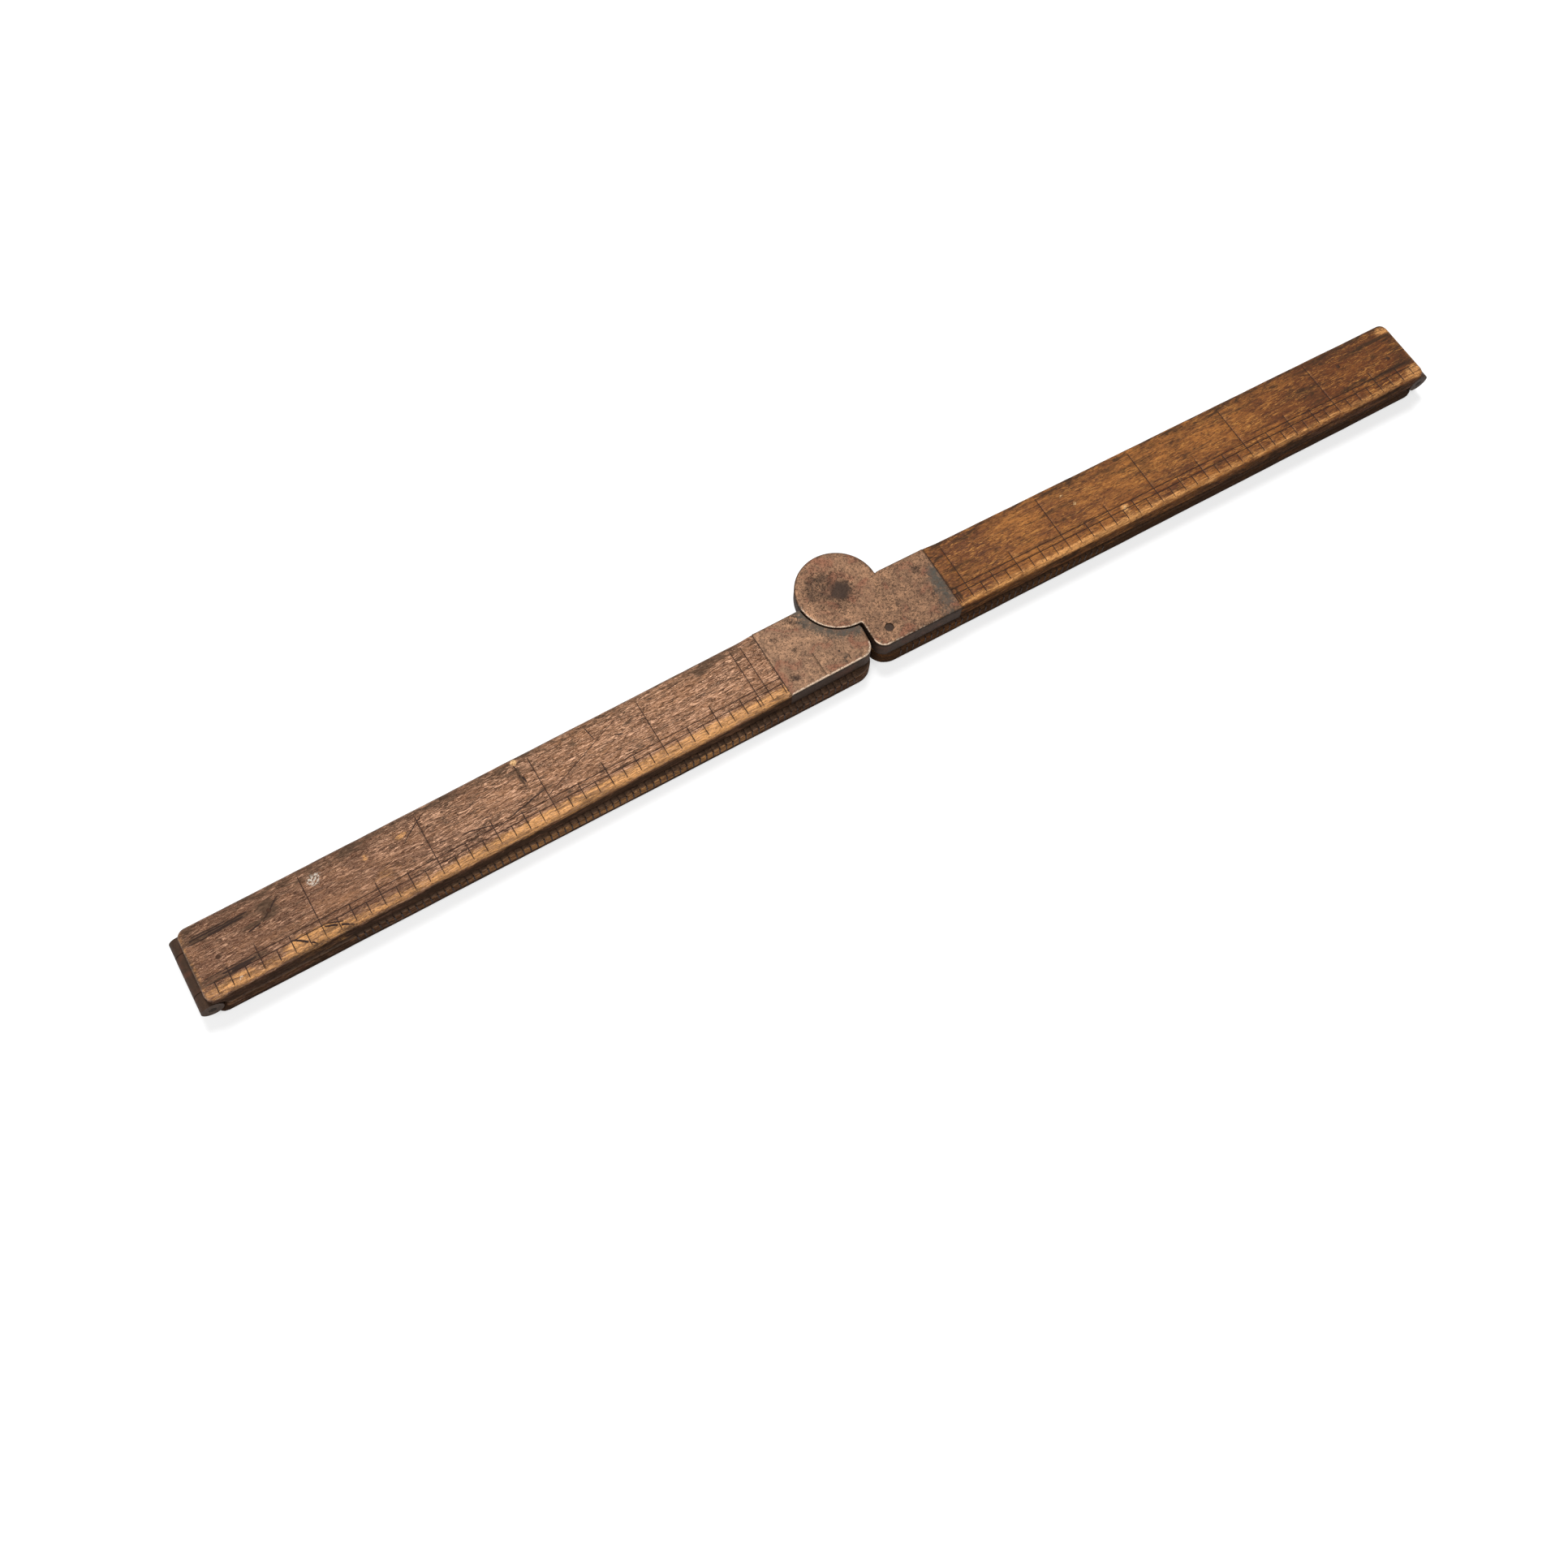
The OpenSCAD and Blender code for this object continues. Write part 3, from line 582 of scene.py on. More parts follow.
def plate_plan(ring, holes, cuts, seed):
    """Triangles that fill a plate's outline round its holes, with edges along its scored marks.
    Returns the points, the triangles, and where each point of the outline and of each hole went."""
    verts, edges = [tuple(p) for p in ring], [(n, (n + 1) % len(ring)) for n in range(len(ring))]
    circles = []
    for x, y, r, _ in holes:
        first = len(verts)
        turns = np.linspace(0, math.tau, HOLE_SIDES + 1)[:-1]
        verts += [(x + r * math.cos(a), y + r * math.sin(a)) for a in turns]
        edges += [(first + n, first + (n + 1) % HOLE_SIDES) for n in range(HOLE_SIDES)]
        circles.append(range(first, first + HOLE_SIDES))
    for x0, y0, x1, y1, _ in cuts:
        d = np.array([x1 - x0, y1 - y0])
        n_seg = max(1, int(np.linalg.norm(d) / 0.5))
        side = np.array([-d[1], d[0]]) / np.linalg.norm(d) * SCORE_HALF
        for off in (-side, side * 0, side):
            first = len(verts)
            verts += [tuple(np.array([x0, y0]) + off + d * t / n_seg) for t in range(n_seg + 1)]
            edges += [(first + n, first + n + 1) for n in range(n_seg)]
    step, clear = 0.55, 0.09
    lo, hi = ring.min(0), ring.max(0)
    grid = np.array([(x, y) for x in np.arange(lo[0], hi[0], step) for y in np.arange(lo[1], hi[1], step)])
    grid = grid + np.random.default_rng(seed).uniform(-0.1, 0.1, grid.shape)
    grid = grid[inside(ring, grid)]
    fixed = np.array(verts)
    grid = grid[np.array([np.min(np.sum((fixed - g) ** 2, 1)) > clear for g in grid])]
    for x, y, r, _ in holes:
        grid = grid[np.hypot(grid[:, 0] - x, grid[:, 1] - y) > r]
    verts += [tuple(g) for g in grid]
    out, _, faces, origin, _, _ = delaunay_2d_cdt([Vector(v) for v in verts], edges, [], 0, 1e-5)
    plan = np.array([(v.x, v.y) for v in out])
    where = {}
    for new, olds in enumerate(origin):
        for old in olds:
            where.setdefault(old, new)
    faces = np.array([f for f in faces if len(f) == 3])
    mid = plan[faces].mean(1)
    keep = inside(ring, mid)
    for x, y, r, _ in holes:
        keep &= np.hypot(mid[:, 0] - x, mid[:, 1] - y) > r * 0.985
    faces = faces[keep]
    a, b, c = plan[faces[:, 0]], plan[faces[:, 1]], plan[faces[:, 2]]
    area = (b[:, 0] - a[:, 0]) * (c[:, 1] - a[:, 1]) - (b[:, 1] - a[:, 1]) * (c[:, 0] - a[:, 0])
    faces[area < 0] = faces[area < 0][:, ::-1]
    return plan, faces, [where[n] for n in range(len(ring))], [[where[n] for n in c] for c in circles]


def wall_quads(upper, lower):
    """Quads between two rings of as many points."""
    m = len(upper)
    return [(upper[q], lower[q], lower[(q + 1) % m], upper[(q + 1) % m]) for q in range(m)]


def plate(name, loop, holes, cuts, pads, seed, material, lower=False, right=False):
    """A brass plate with a worn bevel, true holes, scored marks and shallow hollows.
    holes: (x, y, r at the face, r inside); cuts: (x0, y0, x1, y1, weight); pads: (x, y, r, depth)."""
    ring, bevel = inset_loop(loop, 1.0)
    plan, faces, rim, circles = plate_plan(ring, holes, cuts, seed)
    n, m = len(plan), len(ring)
    # Heights of the face: a slight swell, scored marks and shallow hollows, at or below the frame's own
    points = np.column_stack([plan, np.zeros(n)])
    swell, ripple = relief(points, seed, (3.1, 2.6, 1)), relief(points, seed + 2, (0.9, 0.8, 1))
    top = TOP - 0.012 - 0.010 * (1 + swell) - 0.006 * (1 + ripple)
    cut = np.zeros(n)
    for x0, y0, x1, y1, weight in cuts:
        d = np.array([x1 - x0, y1 - y0])
        t = np.clip(((plan - (x0, y0)) @ d) / (d @ d), 0, 1)
        gap = np.linalg.norm(plan - (np.array([x0, y0]) + t[:, None] * d), axis=1)
        cut = np.maximum(cut, np.clip(1 - gap / SCORE_HALF, 0, 1) * weight)
    top -= cut * 0.05
    for x, y, r, depth in pads:
        top -= depth * ramp(r, r * 0.55, np.hypot(plan[:, 0] - x, plan[:, 1] - y))
    top[rim] = TOP - 0.004
    # Brightness along the outline: worn brass with a painted highlight, strongest on the front edges and the
    # upper bevel steps
    bright = np.array([v for _, _, v in loop])
    edge = np.zeros(n)
    edge[rim] = 0.55 * bright
    z_in = TOP - PLATE_T
    verts = [np.column_stack([plan, top]), np.column_stack([plan, np.full(n, z_in)])]
    quads = []
    masks, score_and_shade = [edge, np.zeros(n)], [cut, np.zeros(n)]
    # The bevel, then the wall down to the inner face: angle, whether at the inner face, brightness (worn edge
    # with a painted highlight), dirt (painted shade on the wall)
    previous, count = rim, 2 * n
    rows = ((30, False, 1.0, 0.0), (60, False, 0.7, 0.62), (90, False, 0.0, 0.62), (90, True, 0.0, 0.62))
    for degrees, deep, shine, dirt in rows:
        angle = math.radians(degrees)
        off, _ = inset_loop(loop, 1 - math.sin(angle))
        z = np.full(m, z_in) if deep else TOP - bevel * (1 - math.cos(angle)) - 0.004
        verts.append(np.column_stack([off, z]))
        masks.append(bright * shine)
        score_and_shade.append(np.full(m, dirt))
        now = count + np.arange(m)
        quads += wall_quads(previous, now)
        previous, count = now, count + m
    quads += wall_quads(previous, np.array(rim) + n)
    for (x, y, r, r_in), ids in zip(holes, circles):
        ids = np.array(ids)
        after = np.roll(ids, -1)
        verts[1][ids, :2] = (x, y) + (plan[ids] - (x, y)) * r_in / r
        quads += zip(ids, after, after + n, ids + n)
    v = np.concatenate(verts)
    all_faces = [tuple(f) for f in (*faces, *(faces[:, ::-1] + n), *quads)]
    if lower:
        v[:, 2] = INNER_Z + TOP - v[:, 2]
        all_faces = [f[::-1] for f in all_faces]
    if right:
        v = turned(v)
    return masked_object(name, v, all_faces, [material],
                         {"edge": np.concatenate(masks), "score_and_shade": np.concatenate(score_and_shade)}, 40)


# Shader trees

class Wires:
    """Adds the nodes of one tree and joins them."""

    def __init__(self, tree):
        self.tree = tree

    def feed(self, made, links):
        """Joins sockets to a node's inputs, or sets the inputs to plain values and colours."""
        for label, value in links.items():
            socket = made.inputs[label]
            if isinstance(value, bpy.types.NodeSocket):
                self.tree.links.new(value, socket)
            else:
                socket.default_value = (*value, 1) if socket.type == "RGBA" else value

    def node(self, kind, links=None, **settings):
        made = self.tree.nodes.new(kind)
        made.location = (220 * (len(self.tree.nodes) % 8), -190 * (len(self.tree.nodes) // 8))
        for key, value in settings.items():
            setattr(made, key, value)
        self.feed(made, links or {})
        return made

    def math(self, operation, a, b, clamp=False):
        return self.node("ShaderNodeMath", {0: a, 1: b}, operation=operation, use_clamp=clamp).outputs[0]

    def times(self, a, b):
        return self.math("MULTIPLY", a, b)

    def plus(self, a, b, clamp=False):
        return self.math("ADD", a, b, clamp)

    def minus(self, a, b):
        return self.math("SUBTRACT", a, b)

    def most(self, a, b):
        return self.math("MAXIMUM", a, b)

    def swing(self, value, amount):
        """A noise of 0 to 1, put about zero and made so strong."""
        return self.times(self.minus(value, 0.5), amount)

    def mix(self, share, a, b):
        return self.node("ShaderNodeMix", {0: share, 6: a, 7: b}, data_type="RGBA").outputs[2]

    def blend(self, share, a, b):
        return self.node("ShaderNodeMix", {0: share, 2: a, 3: b}).outputs[0]

    def vector(self, operation, a, b=(0, 0, 0)):
        return self.node("ShaderNodeVectorMath", {0: a, 1: b}, operation=operation).outputs

    def noise(self, vector, scale, detail=3.0, rough=0.55, warp=0.0):
        return self.node("ShaderNodeTexNoise", {
            0: vector, "Scale": scale, "Detail": detail, "Roughness": rough, "Distortion": warp}).outputs[0]

    def fibre(self, place_mm, length, across, detail, rough, warp):
        """Noise with its own scale along the limb and across it."""
        scaled = self.vector("MULTIPLY", place_mm, (length, across, across))[0]
        return self.noise(scaled, 1.0, detail, rough, warp)

    def band(self, value, low, high):
        """0 below low, 1 above high, smooth between; low may be above high."""
        links = {0: value, 1: low, 2: high}
        return self.node("ShaderNodeMapRange", links, interpolation_type="SMOOTHSTEP").outputs[0]


def new_tree(name, kind, inputs, outputs):
    """An empty tree with named sockets; returns its wires, its inputs and its output node."""
    tree = bpy.data.node_groups.new(name, kind)
    for way, sockets in (("INPUT", inputs), ("OUTPUT", outputs)):
        for label, what in sockets.items():
            tree.interface.new_socket(name=label, in_out=way, socket_type="NodeSocket" + what)
    w = Wires(tree)
    return w, w.node("NodeGroupInput").outputs, w.node("NodeGroupOutput")


def build_wood_figure():
    """Grain of old fine-grained wood: long streaks, short wavy rays, pores and a mottled tone."""
    w, put, out = new_tree("wood_figure", "ShaderNodeTree", {
        "Place": "Vector", "Tone": "Float", "Red Wood": "Color", "Gold Wood": "Color", "Dark Wood": "Color",
        "Glint": "Color", "Ray Strength": "Float"}, {"Colour": "Color", "Grain": "Float", "Height": "Float"})
    place_mm, dark = put["Place"], put["Dark Wood"]
    broad = w.fibre(place_mm, 0.045, 0.14, 3, 0.6, 0.4)
    blotch = w.fibre(place_mm, 0.2, 0.5, 5, 0.72, 1.2)
    lull = w.fibre(place_mm, 0.11, 0.3, 3, 0.6, 0.8)
    streak = w.fibre(place_mm, 0.08, 1.25, 6, 0.72, 0.8)
    ray = w.fibre(place_mm, 0.42, 2.8, 5, 0.72, 1.3)
    pore = w.fibre(place_mm, 1.2, 6.0, 3, 0.65, 0.6)
    shifted = w.plus(w.plus(put["Tone"], w.swing(broad, 1.7)), w.swing(blotch, 2.2), True)
    strength = w.times(put["Ray Strength"], w.blend(w.band(lull, 0.36, 0.62), 0.35, 1.1))
    colour = w.mix(shifted, put["Red Wood"], put["Gold Wood"])
    colour = w.mix(w.times(w.band(streak, 0.5, 0.66), 0.68), colour, dark)
    colour = w.mix(w.times(w.band(ray, 0.495, 0.375), strength), colour, put["Glint"])
    colour = w.mix(w.times(w.band(ray, 0.51, 0.62), strength), colour, dark)
    pores = w.times(w.band(pore, 0.53, 0.66), 0.85)
    height = w.minus(w.minus(w.times(streak, 0.3), w.times(ray, 1.2)), w.times(pores, 0.5))
    w.feed(out, {"Colour": w.mix(pores, colour, dark), "Grain": w.most(w.band(ray, 0.47, 0.62), pores),
                 "Height": height})


def build_hand_wear():
    """What years of handling leave, and painted shade: bare worn edges, soiling in the hollows with painted
    shade on the sides and in the gaps, and ink in the cut marks.
    """
    w, put, out = new_tree("hand_wear", "ShaderNodeTree", {
        "Place": "Vector", "Colour": "Color", "Grain": "Float", "Worn": "Float", "Grime_And_Shade": "Float",
        "Ink": "Float", "Pale": "Float", "Bare Wood": "Color", "Dirt_And_Shade": "Color", "Ink Colour": "Color",
        "Pale Colour": "Color", "Gloss": "Float"}, {"Colour": "Color", "Roughness": "Float"})
    place_mm, dirt = put["Place"], put["Dirt_And_Shade"]
    fine = w.fibre(place_mm, 0.5, 1.9, 4, 0.65, 0.6)
    fibre = w.fibre(place_mm, 0.11, 1.3, 4, 0.65, 0.8)
    smudge = w.fibre(place_mm, 0.16, 0.42, 4, 0.68, 1.0)
    grit = w.noise(place_mm, 2.1, 4, 0.72)
    speck = w.noise(place_mm, 0.9, 2, 0.5)
    ragged = w.plus(put["Worn"], w.swing(fine, 1.5), True)
    bare = w.times(w.band(ragged, 0.12, 0.85), w.band(grit, 0.72, 0.48))
    bare = w.times(bare, w.minus(1.0, w.times(put["Grain"], 0.6)))
    bared = w.mix(w.band(fibre, 0.42, 0.62), put["Bare Wood"], w.mix(0.62, put["Bare Wood"], dirt))
    colour = w.mix(w.times(bare, 0.97), put["Colour"], bared)
    dirty = w.plus(w.plus(put["Grime_And_Shade"], w.swing(fine, 0.9)), w.swing(fibre, 1.2))
    dirty = w.plus(dirty, w.times(w.band(smudge, 0.5, 0.7), 0.5))
    dirty = w.band(w.plus(dirty, w.swing(grit, 0.4)), 0.15, 0.85)
    dirty = w.times(dirty, w.minus(0.9, w.times(bare, 0.52)))
    colour = w.mix(dirty, colour, dirt)
    specks = w.times(w.band(speck, 0.7, 0.74), w.times(w.band(grit, 0.45, 0.6), 0.8))
    colour = w.mix(specks, colour, dirt)
    inked = w.times(w.band(put["Ink"], 0.1, 0.7), w.blend(w.band(fine, 0.64, 0.44), 0.66, 0.98))
    colour = w.mix(inked, colour, put["Ink Colour"])
    chalky = w.times(w.band(put["Pale"], 0.2, 0.6), w.band(grit, 0.47, 0.53))
    rough = w.plus(w.plus(put["Gloss"], w.times(dirty, 0.3)), w.swing(grit, 0.5))
    w.feed(out, {"Colour": w.mix(chalky, colour, put["Pale Colour"]),
                 "Roughness": w.plus(rough, w.times(bare, 0.08), True)})


def build_brass_patina():
    """Old handled brass: brown bloom, pits, fine scratches, dark spots, green bloom, edges worn bright with a
    painted highlight, and painted shade on the walls.
    """
    w, put, out = new_tree("brass_patina", "ShaderNodeTree", {
        "Place": "Vector", "Edge": "Float", "Score_And_Shade": "Float", "Bronze": "Color", "Brown": "Color",
        "Bright": "Color", "Bloom": "Float", "Stain": "Float", "Stain Colour": "Color", "Green": "Float",
        "Green Colour": "Color"},
        {"Colour": "Color", "Roughness": "Float", "Metal": "Float", "Height": "Float"})
    place_mm, stain = put["Place"], put["Stain Colour"]
    cloud = w.noise(place_mm, 0.2, 4, 0.62, 0.8)
    mottle = w.noise(place_mm, 0.75, 5, 0.72, 0.6)
    grain = w.noise(place_mm, 2.6, 4, 0.62, 0.4)
    hair = w.fibre(place_mm, 0.4, 3.5, 3, 0.55, 0.3)
    tarnish = w.plus(w.plus(w.times(cloud, 0.7), w.times(mottle, 0.6)), w.minus(put["Bloom"], 0.65))
    brown = w.band(tarnish, 0.05, 0.85)
    colour = w.mix(brown, put["Bronze"], put["Brown"])
    colour = w.mix(w.times(w.band(cloud, 0.5, 0.66), 0.45), colour, (0.24, 0.085, 0.045))
    pits = w.times(w.band(grain, 0.51, 0.65), w.blend(w.band(put["Stain"], 0.0, 0.5), 0.42, 0.85))
    colour = w.mix(pits, colour, stain)
    edgy = w.swing(mottle, 1.3)
    stained = w.band(w.plus(put["Stain"], w.times(edgy, 0.9)), 0.1, 1.0)
    colour = w.mix(w.times(stained, 0.9), colour, stain)
    broken = w.plus(w.times(edgy, 1.7), w.minus(grain, 0.5))
    greened = w.band(w.plus(put["Green"], broken), 0.2, 1.2)
    flaky = w.times(greened, w.blend(w.band(grain, 0.6, 0.42), 0.55, 0.95))
    colour = w.mix(flaky, colour, put["Green Colour"])
    # Edges painted bright: worn brass with a painted highlight
    rubbed_and_lit = w.band(w.plus(put["Edge"], w.swing(grain, 1.6), True), 0.35, 0.9)
    colour = w.mix(rubbed_and_lit, colour, put["Bright"])
    # Scored lines darken, and the plate walls are painted near black as shade
    dark = w.times(w.band(put["Score_And_Shade"], 0.1, 0.8), w.blend(w.band(mottle, 0.4, 0.62), 0.72, 0.95))
    colour = w.mix(dark, colour, stain)
    colour = w.mix(w.times(w.band(put["Score_And_Shade"], 0.5, 0.62), 0.6), colour, (0.018, 0.009, 0.004))
    spoiled = w.most(w.most(stained, greened), dark)
    rough = w.plus(w.plus(0.38, w.times(brown, 0.16)), w.times(pits, 0.2))
    w.feed(out, {
        "Colour": colour, "Roughness": w.plus(rough, w.times(spoiled, 0.25), True),
        "Metal": w.blend(w.most(spoiled, w.times(brown, 0.6)), 0.6, 0.0),
        "Height": w.plus(w.minus(w.times(hair, 0.3), w.times(pits, 0.7)), w.times(grain, 0.5))})


def cleared(owner):
    """The wires of a material's or a world's own tree, emptied."""
    owner.use_nodes = True
    owner.node_tree.nodes.clear()
    return Wires(owner.node_tree)


def new_material(name):
    """A material's wires, its surface and the place in millimetres."""
    w = cleared(bpy.data.materials.new(name))
    surface = w.node("ShaderNodeBsdfPrincipled")
    w.node("ShaderNodeOutputMaterial", {"Surface": surface.outputs[0]})
    place_m = w.node("ShaderNodeTexCoord").outputs["Object"]
    return w, surface, w.vector("MULTIPLY", place_m, (1000, 1000, 1000))[0]


def mask(w, name, masked, plain=0.0):
    """A point mask of the mesh, or a plain value where the mesh has none."""
    return w.node("ShaderNodeAttribute", attribute_name=name).outputs["Fac"] if masked else plain


def group_node(w, name, links):
    return w.node("ShaderNodeGroup", links, node_tree=bpy.data.node_groups[name]).outputs


def round_spots(w, place_mm, places):
    """The strongest of some round spots on the plan: (x, y, full radius, outer radius, strength)."""
    flat = w.vector("MULTIPLY", place_mm, (1, 1, 0))[0]
    total = 0.0
    for x, y, r_in, r_out, strength in places:
        gap = w.vector("DISTANCE", flat, (x, y, 0))["Value"]
        total = w.most(total, w.times(w.band(gap, r_out, r_in), strength))
    return total


def wood_material(name, tones, gloss, rays, sheen, masked=True, painted_sheen=(), raised=1.0, specks=()):
    """tones: red, gold, glint and pale; lively: x from and to between which painted glints of the sheen are
    added, as stronger pale rays and orange pale specks; raised: share of the grain relief; specks: small pale
    places."""
    w, surface, place_mm = new_material(name)
    look = bpy.context.scene.rule_wood
    red, gold, glint, pale = tones
    if painted_sheen:
        start, stop = painted_sheen
        # Painted glints of the sheen: stronger pale rays and orange pale specks between these x
        x = w.node("ShaderNodeSeparateXYZ", {0: place_mm}).outputs[0]
        there = w.times(w.band(x, start - 12, start), w.band(x, stop + 8, stop))
        rays = w.blend(there, rays, rays * 2.3)
        pale = w.mix(there, pale, (0.80, 0.50, 0.24))
    figure = group_node(w, "wood_figure", {
        "Place": place_mm, "Tone": mask(w, "tone", masked, 0.5), "Red Wood": red, "Gold Wood": gold,
        "Dark Wood": look.dark, "Glint": glint, "Ray Strength": rays})
    masks = {label: mask(w, label.lower(), masked) for label in ("Worn", "Grime_And_Shade", "Ink", "Pale")}
    if specks:
        masks["Pale"] = w.most(masks["Pale"], round_spots(w, place_mm, specks))
    wear = group_node(w, "hand_wear", {
        "Place": place_mm, "Colour": figure["Colour"], "Grain": figure["Grain"], "Gloss": gloss,
        "Bare Wood": look.bare, "Dirt_And_Shade": look.dirt, "Ink Colour": look.ink, "Pale Colour": pale, **masks})
    bump = {"Height": figure["Height"], "Strength": 0.9, "Distance": look.relief * raised}
    w.feed(surface, {
        "Base Color": wear["Colour"], "Roughness": wear["Roughness"],
        "Normal": w.node("ShaderNodeBump", bump).outputs[0],
        "Specular IOR Level": sheen, "Specular Tint": (1.0, 0.64, 0.42)})


def brass_material(name, bloom, dark_spots=(), greens=(), masked=True, dark=0.0, tint=(1, 1, 1)):
    w, surface, place_mm = new_material(name)
    look = bpy.context.scene.rule_brass
    bronze, brown = ([c * t for c, t in zip(colour, tint)] for colour in (look.bronze, look.brown))
    patina = group_node(w, "brass_patina", {
        "Place": place_mm, "Edge": mask(w, "edge", masked), "Score_And_Shade": mask(w, "score_and_shade", masked, dark),
        "Bronze": bronze, "Brown": brown, "Bright": look.bright, "Bloom": bloom,
        "Stain": round_spots(w, place_mm, dark_spots), "Stain Colour": look.stain,
        "Green": round_spots(w, place_mm, greens), "Green Colour": look.verdigris})
    bump = {"Height": patina["Height"], "Strength": 0.8, "Distance": 0.00006}
    w.feed(surface, {
        "Base Color": patina["Colour"], "Roughness": patina["Roughness"], "Metallic": patina["Metal"],
        "Normal": w.node("ShaderNodeBump", bump).outputs[0], "Specular IOR Level": 0.15})


# Geometry nodes

def finish_tree(w, out, made, finish):
    """Ends a geometry tree: real meshes with their material."""
    real = w.node("GeometryNodeRealizeInstances", {0: made.outputs[0]}).outputs[0]
    w.feed(out, {0: w.node("GeometryNodeSetMaterial", {"Geometry": real, "Material": finish}).outputs[0]})


def build_set_pieces():
    """Puts a blank piece at every point, turned and stretched as the point's own values say."""
    w, put, out = new_tree("set_pieces", "GeometryNodeTree", {
        "Points": "Geometry", "Blank": "Object", "Loose Turn": "Float", "Seed": "Int", "Finish": "Material"},
        {"Pieces": "Geometry"})
    blank = w.node("GeometryNodeObjectInfo", {"Object": put["Blank"]}).outputs["Geometry"]
    turn = w.node("GeometryNodeInputNamedAttribute", {"Name": "turn"}).outputs["Attribute"]
    stretch = w.node("GeometryNodeInputNamedAttribute", {"Name": "stretch"}, data_type="FLOAT_VECTOR")
    chance = w.node("FunctionNodeRandomValue", {"Seed": put["Seed"]}, data_type="FLOAT")
    spin = w.times(w.minus(chance.outputs[1], 0.5), put["Loose Turn"])
    angles = w.node("ShaderNodeCombineXYZ", {2: w.plus(turn, spin)}).outputs[0]
    set_down = w.node("GeometryNodeInstanceOnPoints", {
        "Points": put["Points"], "Instance": blank, "Rotation": angles,
        "Scale": stretch.outputs["Attribute"]})
    finish_tree(w, out, set_down, put["Finish"])


def build_scored_line():
    """Sweeps a flat section along every line of a wire mesh, as wide as its girth says."""
    w, put, out = new_tree("scored_line", "GeometryNodeTree", {
        "Wires": "Geometry", "Line Width": "Float", "Line Depth": "Float", "Finish": "Material"},
        {"Lines": "Geometry"})
    curve = w.node("GeometryNodeMeshToCurve", {"Mesh": put["Wires"]}).outputs[0]
    girth = w.node("GeometryNodeInputNamedAttribute", {"Name": "girth"}).outputs["Attribute"]
    level = w.node("GeometryNodeSetCurveNormal", {"Curve": curve}, mode="Z_UP").outputs[0]
    section = w.node("GeometryNodeCurvePrimitiveQuadrilateral", {
        "Width": put["Line Width"], "Height": put["Line Depth"]}).outputs[0]
    swept = w.node("GeometryNodeCurveToMesh", {
        "Curve": level, "Profile Curve": section, "Scale": girth, "Fill Caps": True})
    finish_tree(w, out, swept, put["Finish"])


def run_tree(name, tree_name, points, edges, values, inputs):
    """Runs a tree on a mesh of points or wires and returns its result as a plain mesh object."""
    obj = new_object(name, points, [], edges)
    mesh, tree = obj.data, bpy.data.node_groups[tree_name]
    for label, data in values.items():
        data = np.asarray(data, np.float32)
        kind, key = ("FLOAT_VECTOR", "vector") if data.ndim == 2 else ("FLOAT", "value")
        mesh.attributes.new(label, kind, "POINT").data.foreach_set(key, data.ravel())
    modifier = obj.modifiers.new("tree", "NODES")
    modifier.node_group = tree
    sockets = {s.name: s.identifier for s in tree.interface.items_tree if s.in_out == "INPUT"}
    for label, value in inputs.items():
        modifier[sockets[label]] = value
    bpy.context.view_layer.update()
    result = bpy.data.meshes.new_from_object(obj.evaluated_get(bpy.context.evaluated_depsgraph_get()))
    obj.modifiers.remove(modifier)
    obj.data = result
    bpy.data.meshes.remove(mesh)
    if not result.polygons:
        raise RuntimeError(f"{name} came out empty")
    for label in [a.name for a in result.attributes if a.name in ("turn", "stretch", "girth")]:
        result.attributes.remove(result.attributes[label])
    shade(result, 35)
    return obj


def pieces_at(name, places, turns, stretches, blank, loose, seed, finish):
    """One piece made of a blank set at every place."""
    return run_tree(name, "set_pieces", places, [], {"turn": turns, "stretch": stretches}, {
        "Blank": blank, "Loose Turn": loose, "Seed": seed, "Finish": bpy.data.materials[finish]})


def lines_piece(name, runs, body, width, depth, girths=None):
    """One piece swept along runs of points given in the frame, in millimetres."""
    points, edges = [], []
    for run in runs:
        edges += [(len(points) + n, len(points) + n + 1) for n in range(len(run) - 1)]
        points += [tuple(p) for p in run]
    girths = np.ones(len(points)) if girths is None else girths
    ink = bpy.data.materials["mark_ink"]
    piece = run_tree(name, "scored_line", points, edges, {"girth": girths},
                     {"Line Width": width * MM, "Line Depth": depth * MM, "Finish": ink})
    hand_over(piece, body)


def lathe_blank(name, profile, segments=28):
    """A closed turned piece from (radius, z) pairs, bottom first, as a helper object."""
    verts, faces = [(0, 0, profile[0][1])], []
    for r, z in profile:
        verts += [(r * math.cos(a), r * math.sin(a), z) for a in np.linspace(0, math.tau, segments + 1)[:-1]]
    verts.append((0, 0, profile[-1][1]))
    last = len(verts) - 1
    for ring in range(len(profile) - 1):
        for q in range(segments):
            a, b = 1 + ring * segments + q, 1 + ring * segments + (q + 1) % segments
            faces.append((a, b, b + segments, a + segments))
    top = 1 + (len(profile) - 1) * segments
    for q in range(segments):
        n = (q + 1) % segments
        faces += [(0, 1 + n, 1 + q), (last, top + q, top + n)]
    return new_object(name, verts, faces)


def blade_blank():
    """A one-millimetre long, one-millimetre wide and deep sliver with pointed ends, as a helper object."""
    outline = [(0, 0), (0.5, 0.1), (0.5, 0.88), (0, 1), (-0.5, 0.88), (-0.5, 0.1)]
    verts = [(x, y, z) for z in (0, -1) for x, y in outline]
    faces = [tuple(range(6)), tuple(range(11, 5, -1))]
    faces += [(q, q + 6, (q + 1) % 6 + 6, (q + 1) % 6) for q in range(6)]
    return new_object("blade_blank", verts, faces)


